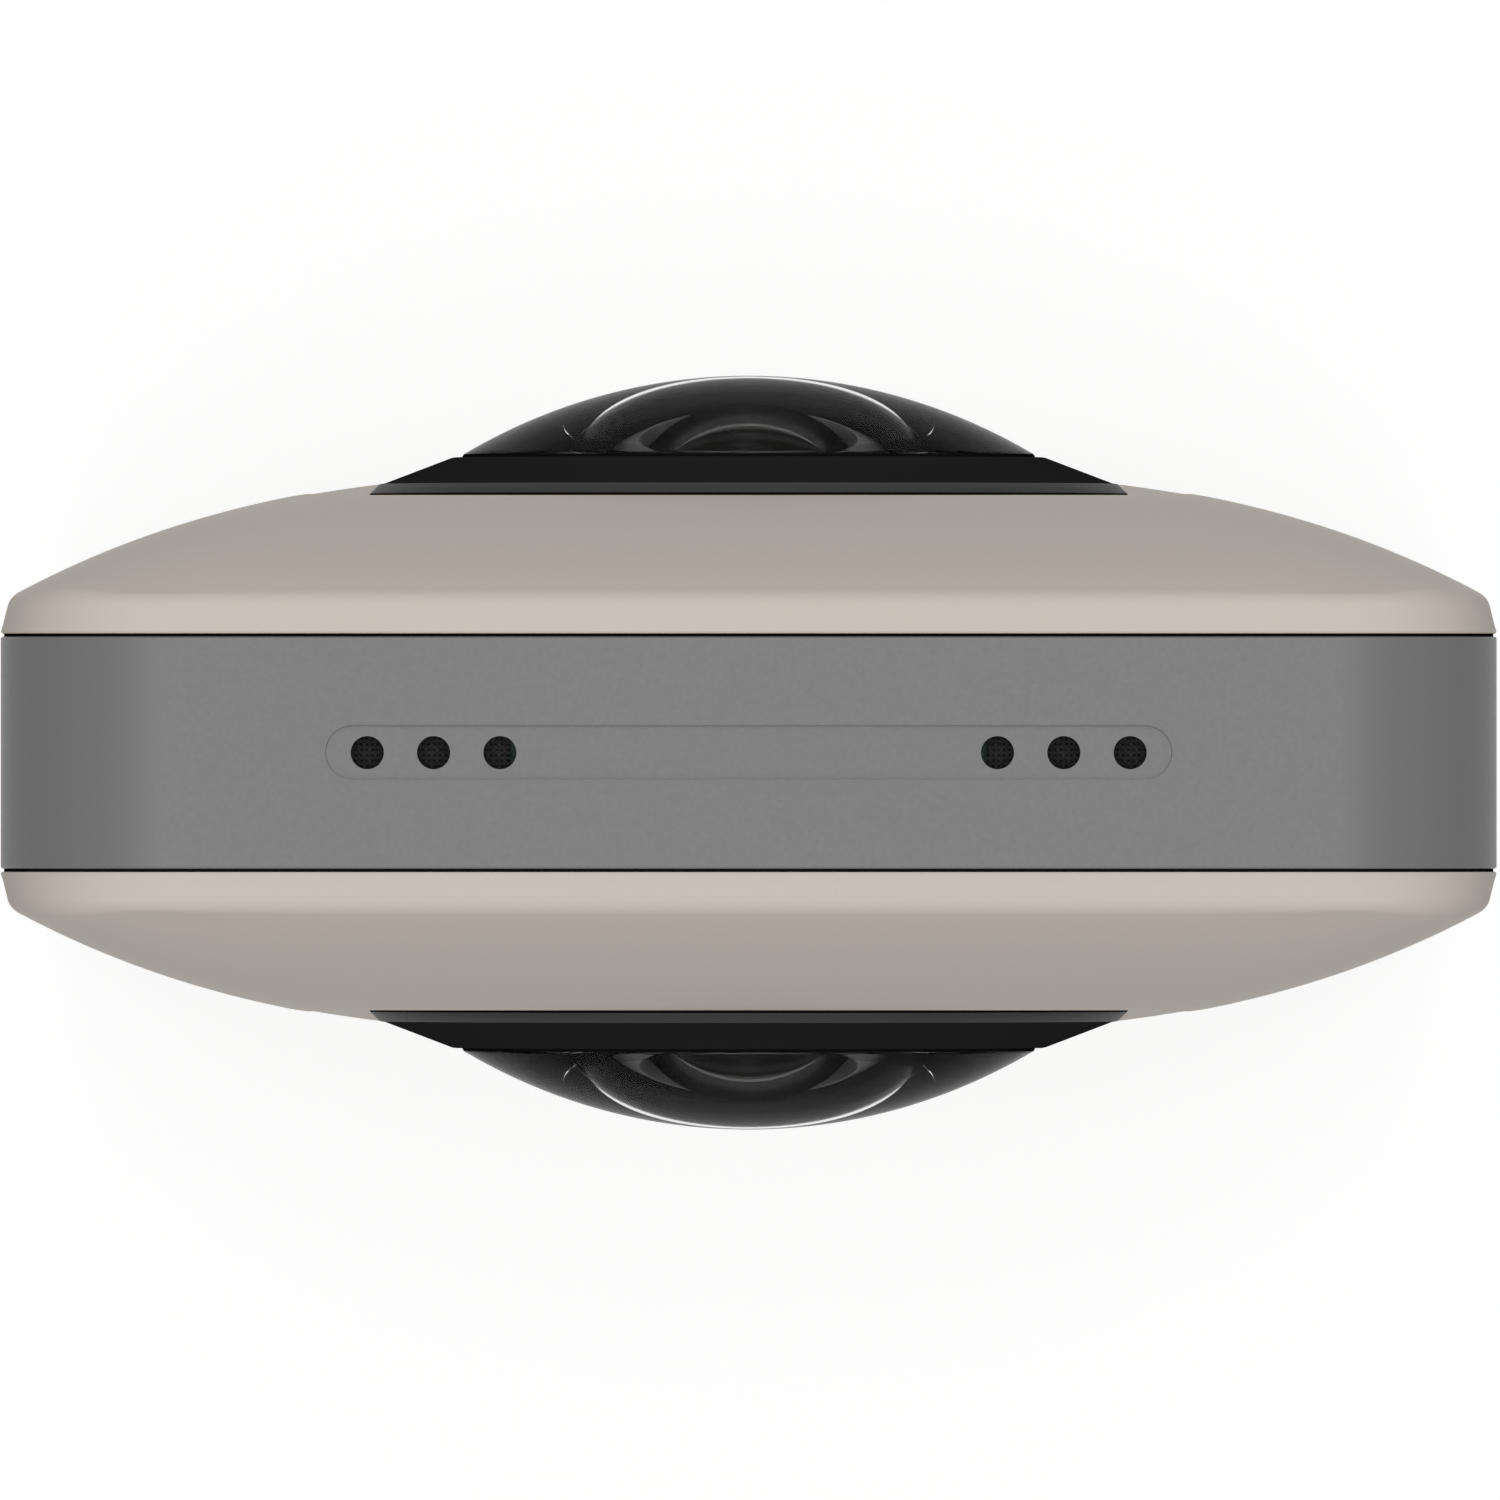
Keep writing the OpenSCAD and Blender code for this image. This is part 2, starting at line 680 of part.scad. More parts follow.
module lens_block() color("dimgray") difference() {
    union() {
        translate([0, 0, lens_z]) cube([block_w, block_d, block_h], center = true);
        for (s = [-1, 1], v = [-1, 1])
            block([s * ear_x - ear_w / 2, frame_y, lens_z + min(v * ear_reach, v * block_h / 2)],
                [s * ear_x + ear_w / 2, frame_y + ear_t, lens_z + max(v * ear_reach, v * block_h / 2)]);
    }
    translate([0, 0, lens_z]) cube(2 * (prism_half + fit), center = true);
    translate([0, 0, lens_z]) rotate([90, 0, 0]) cylinder(r = spigot_r + fit, h = 2 * block_w, center = true);
    translate([0, 0, lens_z]) rotate([0, 90, 0]) cylinder(r = spigot_r + fit, h = 2 * block_w, center = true);
    for (s = [-1, 1], z = [lens_low_z, lens_high_z])
        translate([s * ear_x, frame_y + ear_t, z + bar_w / 2]) rotate([-90, 0, 0]) screw_hole(ear_t + bite);
}

module relay_barrel() color("black") translate([0, 0, lens_z]) difference() {
    union() {
        translate([relay_x, 0, 0]) rotate([0, 90, 0]) cylinder(r = spigot_r, h = relay_end - relay_x);
        block([relay_end - holder_t, -holder / 2, -holder / 2], [relay_end, holder / 2, holder / 2]);
    }
    rotate([0, 90, 0]) cylinder(r = relay_r + fit, h = 2 * relay_end);
}

module relay_lenses() color("lightblue", 0.5) translate([0, 0, lens_z]) rotate([0, 90, 0])
    for (x = [relay_first, relay_second]) intersection() {
        translate([0, 0, x]) cylinder(r = relay_r, h = relay_t);
        translate([0, 0, x + relay_rise - relay_sphere]) sphere(relay_sphere);
    }

module sensor() color("darkgreen") translate([0, 0, lens_z])
    block([relay_end, -sensor_w / 2, -sensor_w / 2], [sensor_board_x, sensor_w / 2, sensor_w / 2]);

module sensor_board() color("green") translate([0, 0, lens_z])
    block([sensor_board_x, -sensor_board_w / 2, -sensor_board_h / 2],
        [ribbon_x, sensor_board_w / 2, sensor_board_h / 2]);

module sensor_ribbon() color("orange")
    block([ribbon_x, board_back + ribbon_lift, lens_low_z - ribbon_low],
        [ribbon_x + ribbon_t, ribbon_y, lens_z - ribbon_high]);

module front_lens_ring() lens_ring();
module front_dome_lens() dome_lens();
module front_lens_barrel() lens_barrel();
module front_lens_retainer() lens_retainer();
module front_second_lens() second_lens();
module front_third_lens() third_lens();
module front_prism() prism();
module front_relay_barrel() relay_barrel();
module front_relay_lenses() relay_lenses();
module front_sensor() sensor();
module front_sensor_board() sensor_board();
module front_sensor_ribbon() sensor_ribbon();
module rear_lens_ring() turned() lens_ring();
module rear_dome_lens() turned() dome_lens();
module rear_lens_barrel() turned() lens_barrel();
module rear_lens_retainer() turned() lens_retainer();
module rear_second_lens() turned() second_lens();
module rear_third_lens() turned() third_lens();
module rear_prism() turned() prism();
module rear_relay_barrel() turned() relay_barrel();
module rear_relay_lenses() turned() relay_lenses();
module rear_sensor() turned() sensor();
module rear_sensor_board() turned() sensor_board();
module rear_sensor_ribbon() mirrored_x() sensor_ribbon();

// Controls
module shutter_button() color("gray") translate([0, 0, shutter_z]) rotate([90, 0, 0]) difference() {
    union() {
        translate([0, 0, shutter_flange_d - shutter_flange_t])
            cylinder(r = shutter_r, h = shutter_top - shutter_flange_d + shutter_flange_t);
        translate([0, 0, shutter_flange_d - shutter_flange_t])
            cylinder(r = shutter_r + shutter_lip, h = shutter_flange_t);
        translate([0, 0, shutter_end]) cylinder(r = shutter_stem_r, h = shutter_flange_d - shutter_end);
    }
    translate([0, 0, shutter_top + dish_sphere - dish_deep]) sphere(dish_sphere);
}

module side_key(i) color("gray") translate([0, 0, keys_z + (i - 1.5) * key_pitch]) rotate([0, 90, 0]) {
    translate([0, 0, key_flange_x - key_flange_t])
        linear_extrude(half_w - key_sink - key_flange_x + key_flange_t) pill(key_l, key_w);
    translate([0, 0, key_flange_x - key_flange_t])
        linear_extrude(key_flange_t) pill(key_l + 2 * key_lip, key_w + 2 * key_lip);
    translate([0, 0, key_tip_x]) cylinder(r = key_stem_r, h = key_stem + key_flange_t / 2);
}

module power_key() side_key(3);
module wireless_key() side_key(2);
module mode_key() side_key(1);
module timer_key() side_key(0);

module shutter_switch() color("silver") translate([0, frame_y, shutter_z]) rotate([90, 0, 0]) {
    translate([-switch_w / 2, -switch_w / 2, 0]) cube([switch_w, switch_w, switch_h]);
    cylinder(r = switch_tip_r, h = switch_h + switch_tip);
}

module key_switches() color("silver") for (i = [0:3])
    translate([key_board_x + board_t, 0, keys_z + (i - 1.5) * key_pitch]) rotate([0, 90, 0]) {
        translate([-key_switch_l / 2, -key_switch_w / 2, 0]) cube([key_switch_l, key_switch_w, key_switch_h]);
        cylinder(r = key_plunger_r, h = key_switch_h + plunger_h);
    }

module key_board() color("green")
    block([key_board_x, -key_board_w / 2, keys_z - keys_half + part_gap],
        [key_board_x + board_t, key_board_w / 2, keys_z + keys_half - part_gap]);

// Electronics
module main_board() color("green") difference() {
    block([board_left, board_y, board_low], [board_right, board_back, board_high]);
    for (s = [-1, 1])
        translate([s * board_screw_x, board_back, mid_bar_z + bar_w / 2]) rotate([-90, 0, 0])
            screw_hole(board_t + bite);
}

module processor_shield() color("silver") difference() {
    block([-shield_w / 2, board_back, shield_low], [shield_w / 2, board_back + shield_t, shield_high]);
    block([shield_sheet - shield_w / 2, board_back - cut, shield_low + shield_sheet],
        [shield_w / 2 - shield_sheet, board_back + shield_t - shield_sheet, shield_high - shield_sheet]);
}

module wireless_module() color("silver")
    block([module_x, board_back, board_high - module_drop - module_w],
        [module_x + module_w, board_back + module_t, board_high - module_drop]);

module board_chips() color("black") {
    block([radio_x, board_back, board_high - radio_drop - radio_w],
        [radio_x + radio_w, board_back + radio_t, board_high - radio_drop]);
    block([-memory_w / 2, board_back, memory_low], [memory_w / 2, board_back + memory_t, memory_high]);
    block([-processor_w / 2, board_back, (shield_low + shield_high - processor_w) / 2],
        [processor_w / 2, board_back + processor_t, (shield_low + shield_high + processor_w) / 2]);
}

module board_connectors() color("ivory") {
    for (s = [-1, 1]) {
        x = s * (ribbon_x + ribbon_t + ribbon_plug_w / 2);
        block([x - ribbon_plug_w / 2, board_back, lens_low_z - ribbon_low],
            [x + ribbon_plug_w / 2, board_back + ribbon_plug_t, lens_low_z - ribbon_low + ribbon_plug_h]);
    }
    block([-plug_x, board_back, plug_high - battery_plug_h],
        [battery_plug_w - plug_x, board_back + battery_plug_t, plug_high]);
    block([plug_x - key_plug_w, board_back, plug_high - battery_plug_h],
        [plug_x, board_back + key_plug_t, plug_high - battery_plug_h + key_plug_h]);
}

module battery() color("slategray")
    block([-battery_half, -battery_front, battery_z], [battery_half, battery_back, battery_z + battery_h]);

module battery_tape() color("white")
    block([tape_side - battery_half, battery_back, battery_z + tape_end],
        [battery_half - tape_side, tray_y, battery_z + battery_h - tape_end]);

module display_window() color("black") translate([0, -(window_top - window_t / 2), display_z])
    upright(window_t) rounded(display_w, display_h, window_r);

module display_panel() color("darkslategray")
    block([panel_x - display_w / 2, -panel_d, display_z - display_h / 2 - panel_z],
        [display_w / 2 - panel_x, panel_t - panel_d, display_z + display_h / 2 + panel_z]);

module status_lamp() color("white") translate([0, 0, lamp_z]) rotate([90, 0, 0]) {
    translate([0, 0, lamp_d - lamp_lip_t]) cylinder(r = lamp_r + lamp_lip, h = lamp_lip_t);
    translate([0, 0, lamp_d - lamp_lip_t]) cylinder(r = lamp_r, h = lamp_top - lamp_d + lamp_lip_t);
}

module sound_meshes() color("black") for (s = [-1, 1])
    block([min(s * mesh_in, s * mesh_out), -mesh_w / 2, mesh_z],
        [max(s * mesh_in, s * mesh_out), mesh_w / 2, top_in]);

module microphone() color("silver")
    block([-hole_x - microphone_out, -microphone_w / 2, sound_z],
        [microphone_in - hole_x, microphone_w / 2, mesh_z]);

module speaker() color("black")
    block([hole_x - speaker_in, -speaker_w / 2, sound_z], [hole_x + speaker_out, speaker_w / 2, mesh_z]);

module sound_board() color("green") difference() {
    block([-sound_board_l / 2, -sound_board_w / 2, sound_board_z],
        [sound_board_l / 2, sound_board_w / 2, sound_z]);
    for (s = [-1, 1]) translate([s * sound_screw_x, 0, sound_z]) screw_hole(board_t + bite);
}

// Base
module tripod_socket() color("silver") difference() {
    union() {
        cylinder(r = socket_r, h = flange_z + socket_flange_t / 2);
        block([-socket_flange, -socket_flange_y, flange_z], [socket_flange, socket_flange_y, frame_low]);
    }
    translate([0, 0, -cut]) cylinder(r = thread_r, h = thread_l + cut);
    for (s = [-1, 1])
        translate([s * tripod_screw_x, 0, flange_z]) rotate([180, 0, 0]) screw_hole(socket_flange_t + bite);
}

module usb_outline(w, t) polygon([[-w / 2, t / 2], [w / 2, t / 2], [w / 2, -t / 2 + t * 0.4],
    [w / 2 - t * 0.4, -t / 2], [-w / 2 + t * 0.4, -t / 2], [-w / 2, -t / 2 + t * 0.4]]);

module usb_socket() color("silver") translate([usb_x, 0, usb_z]) difference() {
    linear_extrude(usb_l) usb_outline(usb_w, usb_t);
    translate([0, 0, -cut]) linear_extrude(usb_l + cut - usb_shell)
        usb_outline(usb_w - 2 * usb_shell, usb_t - 2 * usb_shell);
}

module usb_tongue() color("black")
    block([usb_x - tongue_half, tongue_low, usb_z + tongue_drop],
        [usb_x + tongue_half, tongue_high, usb_z + usb_l - usb_shell]);

module port_board() color("green") difference() {
    block([usb_x - port_half, board_y, port_low], [usb_x + port_half, board_back, low_bar_z]);
    translate([usb_x, board_back, low_z]) rotate([-90, 0, 0]) screw_hole(board_t + bite);
}

// Fixings
module cover_screws() color("silver") for (p = front_posts)
    translate([p[0], frame_y, p[1]]) rotate([-90, 0, 0]) screw(frame_t + cover_bite);

module lens_block_screws() color("silver") for (s = [-1, 1], z = [lens_low_z, lens_high_z])
    translate([s * ear_x, frame_y + ear_t, z + bar_w / 2]) rotate([-90, 0, 0]) screw(ear_t + bite);

module board_screws() color("silver") {
    for (s = [-1, 1]) {
        translate([s * board_screw_x, board_back, mid_bar_z + bar_w / 2]) rotate([-90, 0, 0])
            screw(board_t + bite);
        translate([s * sound_screw_x, 0, sound_z]) screw(board_t + bite);
    }
    translate([usb_x, board_back, low_z]) rotate([-90, 0, 0]) screw(board_t + bite);
}

module tripod_screws() color("silver") for (s = [-1, 1])
    translate([s * tripod_screw_x, 0, flange_z]) rotate([180, 0, 0]) screw(socket_flange_t + bite);

side_band();
front_cover();
rear_cover();
inner_frame();
lens_block();
prism_mask();
front_lens_ring();
front_dome_lens();
front_lens_barrel();
front_lens_retainer();
front_second_lens();
front_third_lens();
front_prism();
front_relay_barrel();
front_relay_lenses();
front_sensor();
front_sensor_board();
front_sensor_ribbon();
rear_lens_ring();
rear_dome_lens();
rear_lens_barrel();
rear_lens_retainer();
rear_second_lens();
rear_third_lens();
rear_prism();
rear_relay_barrel();
rear_relay_lenses();
rear_sensor();
rear_sensor_board();
rear_sensor_ribbon();
shutter_button();
power_key();
wireless_key();
mode_key();
timer_key();
shutter_switch();
key_switches();
key_board();
main_board();
processor_shield();
wireless_module();
board_chips();
board_connectors();
battery();
battery_tape();
display_window();
display_panel();
status_lamp();
sound_meshes();
microphone();
speaker();
sound_board();
tripod_socket();
usb_socket();
usb_tongue();
port_board();
cover_screws();
lens_block_screws();
board_screws();
tripod_screws();
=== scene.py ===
import json
import math

import bmesh
import bpy
from mathutils import Matrix, Vector


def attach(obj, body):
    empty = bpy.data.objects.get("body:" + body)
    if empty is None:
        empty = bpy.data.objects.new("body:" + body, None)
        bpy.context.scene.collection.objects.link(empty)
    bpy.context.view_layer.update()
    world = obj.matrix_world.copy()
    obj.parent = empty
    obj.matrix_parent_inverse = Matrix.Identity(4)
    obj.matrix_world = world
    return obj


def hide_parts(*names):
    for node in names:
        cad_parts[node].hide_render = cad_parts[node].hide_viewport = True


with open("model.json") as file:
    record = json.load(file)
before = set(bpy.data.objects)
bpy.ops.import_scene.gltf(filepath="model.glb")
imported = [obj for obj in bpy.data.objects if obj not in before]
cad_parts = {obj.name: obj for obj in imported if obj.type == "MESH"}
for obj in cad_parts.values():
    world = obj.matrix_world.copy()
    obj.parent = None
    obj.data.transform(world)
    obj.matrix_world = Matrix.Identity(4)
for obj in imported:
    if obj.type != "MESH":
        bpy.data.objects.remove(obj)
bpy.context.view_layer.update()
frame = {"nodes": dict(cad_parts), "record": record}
scene = bpy.context.scene

# Sizes in millimetres, as in the solids
MM = 0.001
BARELY = 0.001
HALF_W = 22.6
BODY_H = 130.6
CORNER_R = 5.0
BAND_HALF_D = 3.5
BAND_WALL = 1.6
BAND_EASE = 0.04
LENS_Z = 108.2
SPINE_LOW = HALF_W
SPINE_HIGH = BODY_H - HALF_W

# Cover edge: (inset from the outline, depth from the middle)
SEAM_D = 3.6
EDGE_DRAFT = 0.2
EDGE_D = 4.4
SHOULDER_LEAN = 0.28
SHOULDER_D = 4.75
CROWN_INSET = 0.6
COVER_WALL = 1.3
CROWN_D = 8.7
LAND_D = 7.86
RIM_STEP = 0.1
RIM_IN = 1.4
INNER_INSET = 1.5
CROWN_RULE = {
    "Half width": 22.3,
    "Half height": 65.0,
    "Middle height": 65.3,
    "Crown depth": CROWN_D,
    "Edge depth": SHOULDER_D,
    "Side power": 3.1,
    "End power": 9.0,
    "Blend": 4.0,
    "Lens height": LENS_Z,
    "Land radius": 11.69,
    "Land depth": LAND_D - 0.05,
    "Land bend": 22.03,
    "Land softness": 0.04,
}

# Lens group: distances from the middle of the body, radii from the lens axis
STACK_D = 7.0
RING_TOP = LAND_D + 1.135
RING_SEAT = LAND_D - 0.2
RING_R = 11.54
RING_FOOT_R = 10.2
RING_BORE = 8.77
CHAMFER_LOW = LAND_D + 0.03
CHAMFER_TOP = LAND_D + 0.31
DOME_TIP = 11.48
DOME_SPHERE = 16.95
DOME_R = 8.72
DOME_EDGE = DOME_TIP - 2.46
HOLLOW_MIDDLE = 1.0
HOLLOW_SPHERE = 6.4
HOLLOW_BASE = DOME_TIP - HOLLOW_MIDDLE - HOLLOW_SPHERE
HOLLOW_R = 5.72
HOLLOW_EDGE_R = 5.27
BARREL_R = 9.6
BARREL_WAIST_R = 6.5
BARREL_FOOT_R = 3.3
BARREL_BORE = 2.2
BARREL_BASE = 2.9
RETAINER_D = 6.1
RETAINER_R = 4.5
RETAINER_BORE = 3.25
SECOND_D = 5.5
SECOND_R = 3.4
SECOND_SPHERE = 3.6
SECOND_TIP = 8.067
SECOND_MIDDLE = 1.0
SECOND_HOLLOW = 3.0
THIRD_D = 4.2
THIRD_R = 2.85
THIRD_SPHERE = 6.0
THIRD_TIP = 5.5

# Controls and openings
CUT_DEEP = 3.0
CUT_CLEAR = 12.0
SHUTTER_Z = 72.0
SHUTTER_R = 5.5
SHUTTER_TOP = CROWN_D - 0.1
SHUTTER_FLANGE_R = 6.5
SHUTTER_FLANGE_TOP = CROWN_D - 1.57
SHUTTER_STEM_R = 1.5
SHUTTER_BASE = 1.3
DISH_SPHERE = 60.0
LAMP_Z = 81.0
LAMP_R = 0.75
LAMP_LIP_R = 1.25
LAMP_TOP = CROWN_D - 0.05
DISPLAY_Z = 36.0
DISPLAY_W = 16.0
DISPLAY_H = 5.0
WINDOW_BACK = CROWN_D - 0.9
WINDOW_TOP = CROWN_D - 0.2
WINDOW_ROUND = 0.1
KEY_HEIGHTS = {"timer": 67.1, "mode": 75.7, "wireless": 84.3, "power": 92.9}
KEY_L = 6.4
KEY_W = 3.4
KEY_GAP = 0.12
KEY_FACE = 22.5
KEY_ROUND = 0.22
KEY_FLANGE = 0.5
KEY_FLANGE_BACK = 20.25
KEY_FLANGE_FRONT = 20.95
KEY_STEM_BACK = 19.95
KEY_STEM_W = 1.8
KEY_EASE = 0.05
MARK_FLOOR = KEY_FACE - 0.04
HOLE_R = 0.5
HOLE_PITCH = 2.0
HOLE_X = 9.5
PILL_L = 25.5
PILL_W = 1.6
PILL_FLOOR = BODY_H - 0.07
PILL_LEAN = 0.025
USB_X = 12.6
USB_LOW = 0.5
USB_TOP = 5.5
USB_FLOOR = 5.15
TONGUE_Y = 0.275
THREAD_R = 3.175
SOCKET_R = 4.6
SOCKET_TOP = 8.0
THREAD_TOP = 6.0


# Small helpers for meshes
MERGE = 0.0004


def new_piece(name, mesh):
    """A named object in the scene for a mesh."""
    piece = bpy.data.objects.new(name, mesh)
    scene.collection.objects.link(piece)
    return piece


def mesh_from(name, points, faces):
    mesh = bpy.data.meshes.new(name)
    mesh.from_pydata(points, [], faces)
    return clean(mesh)


def clean(mesh, turn_out=True):
    """Merge points that lie together, drop empty faces and turn the faces outward."""
    shape = bmesh.new()
    shape.from_mesh(mesh)
    bmesh.ops.remove_doubles(shape, verts=shape.verts, dist=MERGE)
    bmesh.ops.dissolve_degenerate(shape, edges=shape.edges, dist=MERGE / 2)
    if turn_out:
        bmesh.ops.recalc_face_normals(shape, faces=shape.faces)
    shape.to_mesh(mesh)
    shape.free()
    return mesh


def baked(piece):
    """The piece with the result of its modifiers as its own mesh."""
    graph = bpy.context.evaluated_depsgraph_get()
    mesh = bpy.data.meshes.new_from_object(piece.evaluated_get(graph))
    piece.modifiers.clear()
    piece.data = mesh
    return piece


def carve(piece, cutters, operation="DIFFERENCE"):
    """Cut the cutters out of a piece, or join them to it, and remove them."""
    for cutter in cutters:
        step = piece.modifiers.new("cut", "BOOLEAN")
        step.operation = operation
        step.solver = "EXACT"
        step.object = cutter
    baked(piece)
    for cutter in cutters:
        bpy.data.objects.remove(cutter)
    clean(piece.data, turn_out=False)


def half_turn(piece):
    piece.data.transform(Matrix.Rotation(math.pi, 4, "Z"))


def settle(piece, body, slot, node=None, others=(), sharp=28, first=None):
    """From millimetres to metres, then the finishes, the body and the node that it stands for."""
    mesh = piece.data
    mesh.transform(Matrix.Scale(MM, 4))
    mesh.name = piece.name
    for number, material in enumerate([first or PAINTS[slot], *others]):
        if number < len(mesh.materials):
            mesh.materials[number] = material
        else:
            mesh.materials.append(material)
    mesh.shade_smooth()
    mesh.set_sharp_from_angle(angle=math.radians(sharp))
    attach(piece, body)
    if node:
        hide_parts(node)


def paint_by(piece, test, index):
    """Give the faces that pass the test another of the piece's materials."""
    for face in piece.data.polygons:
        if test(face):
            face.material_index = index


# Outlines and the solids swept from them
def rounded_outline(w, h, r, bend=12, along_w=1, along_h=1):
    """Points (u, v, outward u, outward v) round a rounded rectangle, from the top of its right side."""
    out = []
    corners = [(1, 1, 0), (-1, 1, 90), (-1, -1, 180), (1, -1, 270)]
    for number, (su, sv, start) in enumerate(corners):
        cu = su * (w / 2 - r)
        cv = sv * (h / 2 - r)
        for i in range(bend + 1):
            a = math.radians(start + 90 * i / bend)
            out.append((cu + r * math.cos(a), cv + r * math.sin(a), math.cos(a), math.sin(a)))
        run, steps = (w - 2 * r, along_w) if number % 2 == 0 else (h - 2 * r, along_h)
        u, v, nu, nv = out[-1]
        for i in range(1, steps):
            share = run * i / steps
            out.append((u - nv * share, v + nu * share, nu, nv))
    return out


def inset(outline, distance):
    return [(u - distance * nu, v - distance * nv) for u, v, nu, nv in outline]


def loft(name, rings, closed=False):
    """Rings with the same number of points, joined in order; open ends are closed with a fan."""
    n = len(rings[0])
    points = [p for ring in rings for p in ring]
    last = len(rings) if closed else len(rings) - 1
    faces = []
    for k in range(last):
        a = k * n
        b = (k + 1) % len(rings) * n
        for i in range(n):
            j = (i + 1) % n
            faces.append((a + i, a + j, b + j, b + i))
    if not closed:
        for start, ring in ((0, rings[0]), ((len(rings) - 1) * n, rings[-1])):
            middle = len(points)
            points.append(tuple(sum(p[k] for p in ring) / n for k in range(3)))
            faces += [(start + i, start + (i + 1) % n, middle) for i in range(n)]
    return new_piece(name, mesh_from(name, points, faces))


FAN_LEAST = 20


def flat_ends(piece):
    """Each end's fan becomes one flat face, so that cuts in it stay clean."""
    shape = bmesh.new()
    shape.from_mesh(piece.data)
    hubs = [point for point in shape.verts if len(point.link_faces) > FAN_LEAST]
    bmesh.ops.dissolve_verts(shape, verts=hubs)
    shape.to_mesh(piece.data)
    shape.free()
    return piece


def lathe(name, profile, axis="lens", height=LENS_Z, turns=192):
    """A closed outline of (radius, distance) points turned round the lens axis or the upright axis."""
    points = []
    rows = []
    for r, d in profile:
        row = []
        for i in range(turns if r > 1e-6 else 1):
            a = 2 * math.pi * i / turns
            u, v = r * math.cos(a), r * math.sin(a)
            row.append(len(points))
            points.append((u, -d, height + v) if axis == "lens" else (u, v, d))
        rows.append(row)
    faces = []
    for k, row in enumerate(rows):
        after = rows[(k + 1) % len(rows)]
        for i in range(turns):
            j = (i + 1) % turns
            corner = [row[i % len(row)], row[j % len(row)], after[j % len(after)], after[i % len(after)]]
            corner = list(dict.fromkeys(corner))
            if len(corner) > 2:
                faces.append(corner)
    return new_piece(name, mesh_from(name, points, faces))


def arc(centre_d, radius, r_from, r_to, steps):
    """Profile points on a sphere of the lens axis, from one radius to another."""
    out = []
    a0 = math.asin(r_from / radius)
    a1 = math.asin(r_to / radius)
    for i in range(steps + 1):
        a = a0 + (a1 - a0) * i / steps
        out.append((radius * math.sin(a), centre_d + radius * math.cos(a)))
    return out


def upright(outline, d, height):
    """A flat outline stood up in the front face at a depth."""
    return [(u, -d, height + v) for u, v in outline]


def side_ring(outline, x, height):
    """A flat outline on the key side: its length runs up, its width runs along the depth."""
    return [(x, v, height + u) for u, v in outline]


def level_ring(outline, z, x=0.0):
    """A flat outline lying level at a height."""
    return [(x + u, v, z) for u, v in outline]


def rings_of(place, outline, steps, at=0.0):
    """One placed ring for each step (inset, distance) of an outline."""
    return [place(inset(outline, pull), distance, at) for pull, distance in steps]


def rounding(radius, top, steps):
    """Steps of a rounded edge that ends level with the top."""
    turns = [math.pi / 2 * i / steps for i in range(steps + 1)]
    return [(radius * (1 - math.cos(a)), top - radius * (1 - math.sin(a))) for a in turns]


# Node trees, for shapes and for finishes
def fill(tree, node, inputs):
    """Give each input its value, or link it to the output of another node."""
    for key, value in dict(inputs).items():
        if isinstance(value, bpy.types.NodeSocket):
            tree.links.new(value, node.inputs[key])
        else:
            node.inputs[key].default_value = value


def add(tree, kind, inputs=(), **settings):
    node = tree.nodes.new(kind)
    for key, value in settings.items():
        setattr(node, key, value)
    fill(tree, node, inputs)
    return node


class ShapeTree:
    """A Geometry Nodes tree with named sizes."""

    def __init__(self, name):
        self.group = bpy.data.node_groups.new(name, "GeometryNodeTree")
        self.group.interface.new_socket("Geometry", in_out="OUTPUT", socket_type="NodeSocketGeometry")
        self.group.interface.new_socket("Geometry", in_out="INPUT", socket_type="NodeSocketGeometry")
        self.enter = self.group.nodes.new("NodeGroupInput")
        self.leave = self.group.nodes.new("NodeGroupOutput")
        self.keys = {}

    def size(self, label, kind="NodeSocketFloat"):
        socket = self.group.interface.new_socket(label, in_out="INPUT", socket_type=kind)
        self.keys[label] = socket.identifier
        return self.enter.outputs[label]

    def sizes(self, *labels):
        return [self.size(label) for label in labels]

    def new(self, kind, inputs=(), **settings):
        """The first output of a new node."""
        return add(self.group, kind, inputs, **settings).outputs[0]

    def math(self, operation, a, b=None):
        return self.new("ShaderNodeMath", {0: a} if b is None else {0: a, 1: b}, operation=operation)

    def vector(self, **parts):
        return self.new("ShaderNodeCombineXYZ", parts)

    def parts(self, vector):
        return add(self.group, "ShaderNodeSeparateXYZ", {0: vector}).outputs

    def row(self, shape, count, start, step):
        """Copies of a shape in a straight row."""
        line = self.new("GeometryNodeMeshLine", {"Count": count, "Start Location": start, "Offset": step})
        return self.new("GeometryNodeInstanceOnPoints", {"Points": line, "Instance": shape})

    def move(self, shape, offset):
        return self.new("GeometryNodeSetPosition", {"Geometry": shape, "Offset": offset})

    def sweep(self, curve, profile):
        inputs = {"Curve": curve, "Profile Curve": profile, "Fill Caps": True}
        return self.new("GeometryNodeCurveToMesh", inputs)

    def join(self, *shapes):
        node = add(self.group, "GeometryNodeJoinGeometry")
        for shape in shapes:
            self.group.links.new(shape, node.inputs[0])
        return node.outputs[0]

    def close(self, shape, material):
        whole = self.new("GeometryNodeRealizeInstances", {"Geometry": shape})
        paint = self.new("GeometryNodeSetMaterial", {"Geometry": whole, "Material": material})
        self.group.links.new(paint, self.leave.inputs[0])

    def grow(self, name, values, mesh=None):
        """A piece made by the tree with these sizes."""
        piece = new_piece(name, mesh or bpy.data.meshes.new(name))
        step = piece.modifiers.new("shape", "NODES")
        step.node_group = self.group
        for label, value in values.items():
            step[self.keys[label]] = value
        return baked(piece)


# Finishes
BROAD_SCALE = 55.0
HAZE_SCALE = 900.0
HAZE_MOST = 0.004
RING_TURN = 0.314


